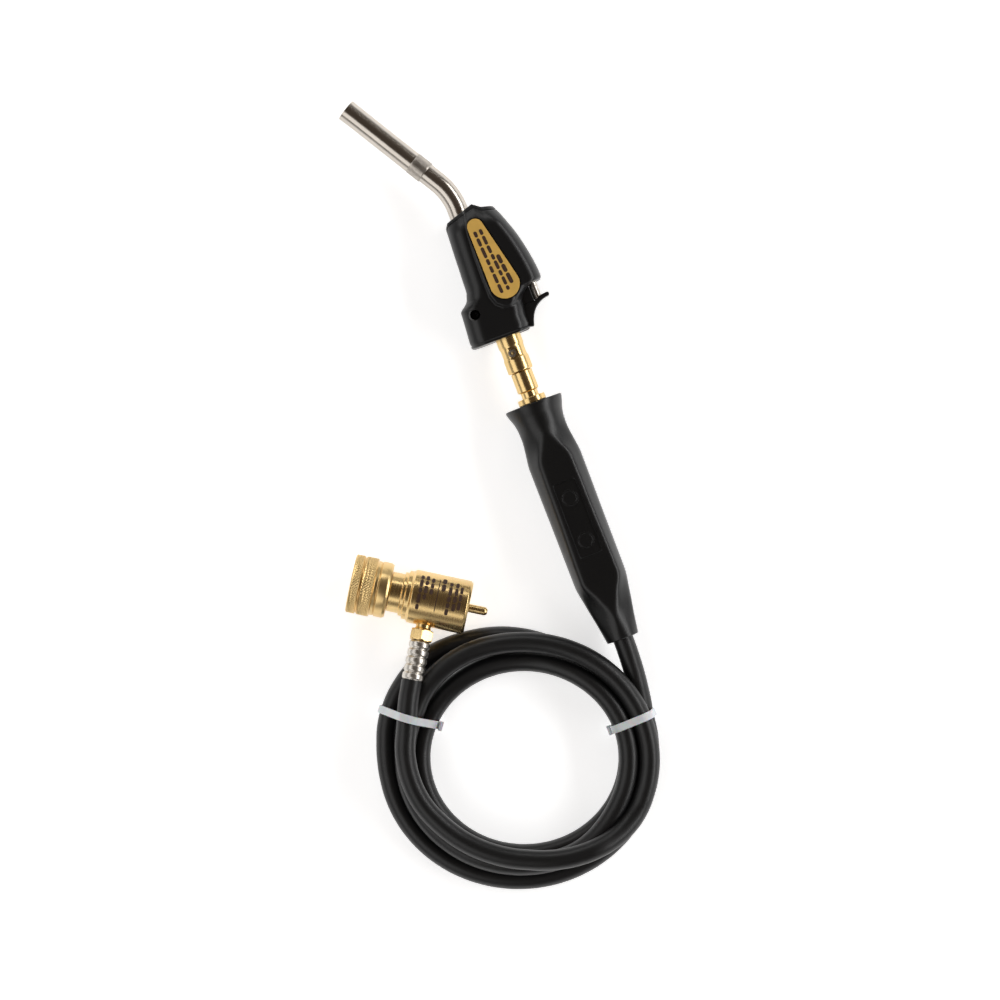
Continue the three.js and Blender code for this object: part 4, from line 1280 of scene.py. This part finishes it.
# The studio's own light, from level to straight up.
SKY = [
    (0.0, (0.80, 0.80, 0.80)), (0.14, (0.60, 0.60, 0.60)), (0.32, (0.16, 0.15, 0.145)),
    (0.60, (0.085, 0.066, 0.052)), (1.0, (0.065, 0.048, 0.036)),
]


def make_world():
    world = bpy.data.worlds.new("studio")
    bpy.context.scene.world = world
    world.use_nodes = True
    nodes, links = world.node_tree.nodes, world.node_tree.links
    place = nodes.new("ShaderNodeTexCoord")
    parts = nodes.new("ShaderNodeSeparateXYZ")
    ramp = nodes.new("ShaderNodeValToRGB")
    elements = ramp.color_ramp.elements
    while len(elements) < len(SKY):
        elements.new(0.5)
    for element, (position, colour) in zip(elements, SKY):
        element.position = position
        element.color = (*colour, 1)
    links.new(place.outputs["Generated"], parts.inputs["Vector"])
    links.new(parts.outputs["Z"], ramp.inputs["Fac"])
    links.new(ramp.outputs["Color"], nodes["Background"].inputs["Color"])
    nodes["Background"].inputs["Strength"].default_value = 0.9


def make_stage():
    bpy.context.scene.view_settings.view_transform = "Standard"
    make_world()
    work = bmesh.new()
    bmesh.ops.create_grid(work, x_segments=2, y_segments=2, size=3.0)
    floor = finished("floor", work, Matrix.Translation((0, -0.05, -0.0004)), finish("floor_white"))
    for light in LIGHTS:
        soft_light(*light)


def dress_frame():
    """Gives every CAD node that still shows its finish."""
    for part in frame["nodes"].values():
        slot = part.data.materials[0].name.split(".")[0]
        part.data.materials[0] = finish(SLOT_FINISHES[slot])


# ---------- operators ----------
class TORCH_OT_camera(Operator):
    """Places the camera straight above the torch"""

    bl_idname = "torch.camera"
    bl_label = "Camera"

    def execute(self, context):
        make_camera()
        return {"FINISHED"}


class TORCH_OT_hose(Operator):
    """Winds the gas hose and its cable ties"""

    bl_idname = "torch.hose"
    bl_label = "Hose and Ties"

    def execute(self, context):
        make_hose(context.scene.torch_sizes)
        return {"FINISHED"}


class TORCH_OT_casings(Operator):
    """Makes the head's two shells and their screws"""

    bl_idname = "torch.casings"
    bl_label = "Head Casings"

    def execute(self, context):
        make_casings(context.scene.torch_sizes)
        return {"FINISHED"}


class TORCH_OT_plate(Operator):
    """Makes the gold plate and its plain bars"""

    bl_idname = "torch.plate"
    bl_label = "Gold Plate"

    def execute(self, context):
        make_plate(context.scene.torch_sizes)
        return {"FINISHED"}


class TORCH_OT_swivel(Operator):
    """Makes the brass swivel between the grip and the head"""

    bl_idname = "torch.swivel"
    bl_label = "Swivel"

    def execute(self, context):
        make_swivel()
        return {"FINISHED"}


class TORCH_OT_burner(Operator):
    """Makes the bent tube, the flame tube and its crimped band"""

    bl_idname = "torch.burner"
    bl_label = "Burner"

    def execute(self, context):
        make_burner()
        return {"FINISHED"}


class TORCH_OT_trigger(Operator):
    """Makes the trigger with its guide and rod"""

    bl_idname = "torch.trigger"
    bl_label = "Trigger"

    def execute(self, context):
        make_trigger()
        return {"FINISHED"}


class TORCH_OT_grip(Operator):
    """Makes the grip with its recess and pads"""

    bl_idname = "torch.grip"
    bl_label = "Grip"

    def execute(self, context):
        make_grip()
        return {"FINISHED"}


class TORCH_OT_regulator(Operator):
    """Makes the knurled nut, the regulator's body and its spindle"""

    bl_idname = "torch.regulator"
    bl_label = "Regulator"

    def execute(self, context):
        make_regulator(context.scene.torch_sizes)
        return {"FINISHED"}


class TORCH_OT_outlet(Operator):
    """Makes the regulator's outlet and the hose's ribbed ferrule"""

    bl_idname = "torch.outlet"
    bl_label = "Outlet and Ferrule"

    def execute(self, context):
        make_outlet()
        return {"FINISHED"}


class TORCH_OT_inner_parts(Operator):
    """Gives the frame's own parts their finishes"""

    bl_idname = "torch.inner_parts"
    bl_label = "Inner Parts"

    def execute(self, context):
        dress_frame()
        return {"FINISHED"}


class TORCH_OT_stage(Operator):
    """Makes the floor, the lights and the world"""

    bl_idname = "torch.stage"
    bl_label = "Stage"

    def execute(self, context):
        make_stage()
        return {"FINISHED"}


OPERATORS = (
    TORCH_OT_camera,
    TORCH_OT_hose,
    TORCH_OT_casings,
    TORCH_OT_plate,
    TORCH_OT_swivel,
    TORCH_OT_burner,
    TORCH_OT_trigger,
    TORCH_OT_grip,
    TORCH_OT_regulator,
    TORCH_OT_outlet,
    TORCH_OT_inner_parts,
    TORCH_OT_stage,
)


class TORCH_PT_panel(Panel):
    """Lists the torch's pieces, sizes and colours"""

    bl_label = "Hose Torch"
    bl_idname = "TORCH_PT_panel"
    bl_space_type = "VIEW_3D"
    bl_region_type = "UI"
    bl_category = "Torch"

    def draw(self, context):
        column = self.layout.column()
        for operator in OPERATORS:
            column.operator(operator.bl_idname)
        for group in (context.scene.torch_sizes, context.scene.torch_finishes):
            for name in group.__annotations__:
                column.prop(group, name)


CLASSES = (TorchSizes, TorchFinishes, *OPERATORS, TORCH_PT_panel)


def register():
    for item in CLASSES:
        bpy.utils.register_class(item)
    bpy.types.Scene.torch_sizes = PointerProperty(type=TorchSizes)
    bpy.types.Scene.torch_finishes = PointerProperty(type=TorchFinishes)


def unregister():
    del bpy.types.Scene.torch_finishes
    del bpy.types.Scene.torch_sizes
    for item in reversed(CLASSES):
        bpy.utils.unregister_class(item)


def main():
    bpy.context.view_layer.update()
    register()
    for operator in OPERATORS:
        group, name = operator.bl_idname.split(".")
        getattr(getattr(bpy.ops, group), name)()


if __name__ == "__main__":
    main()
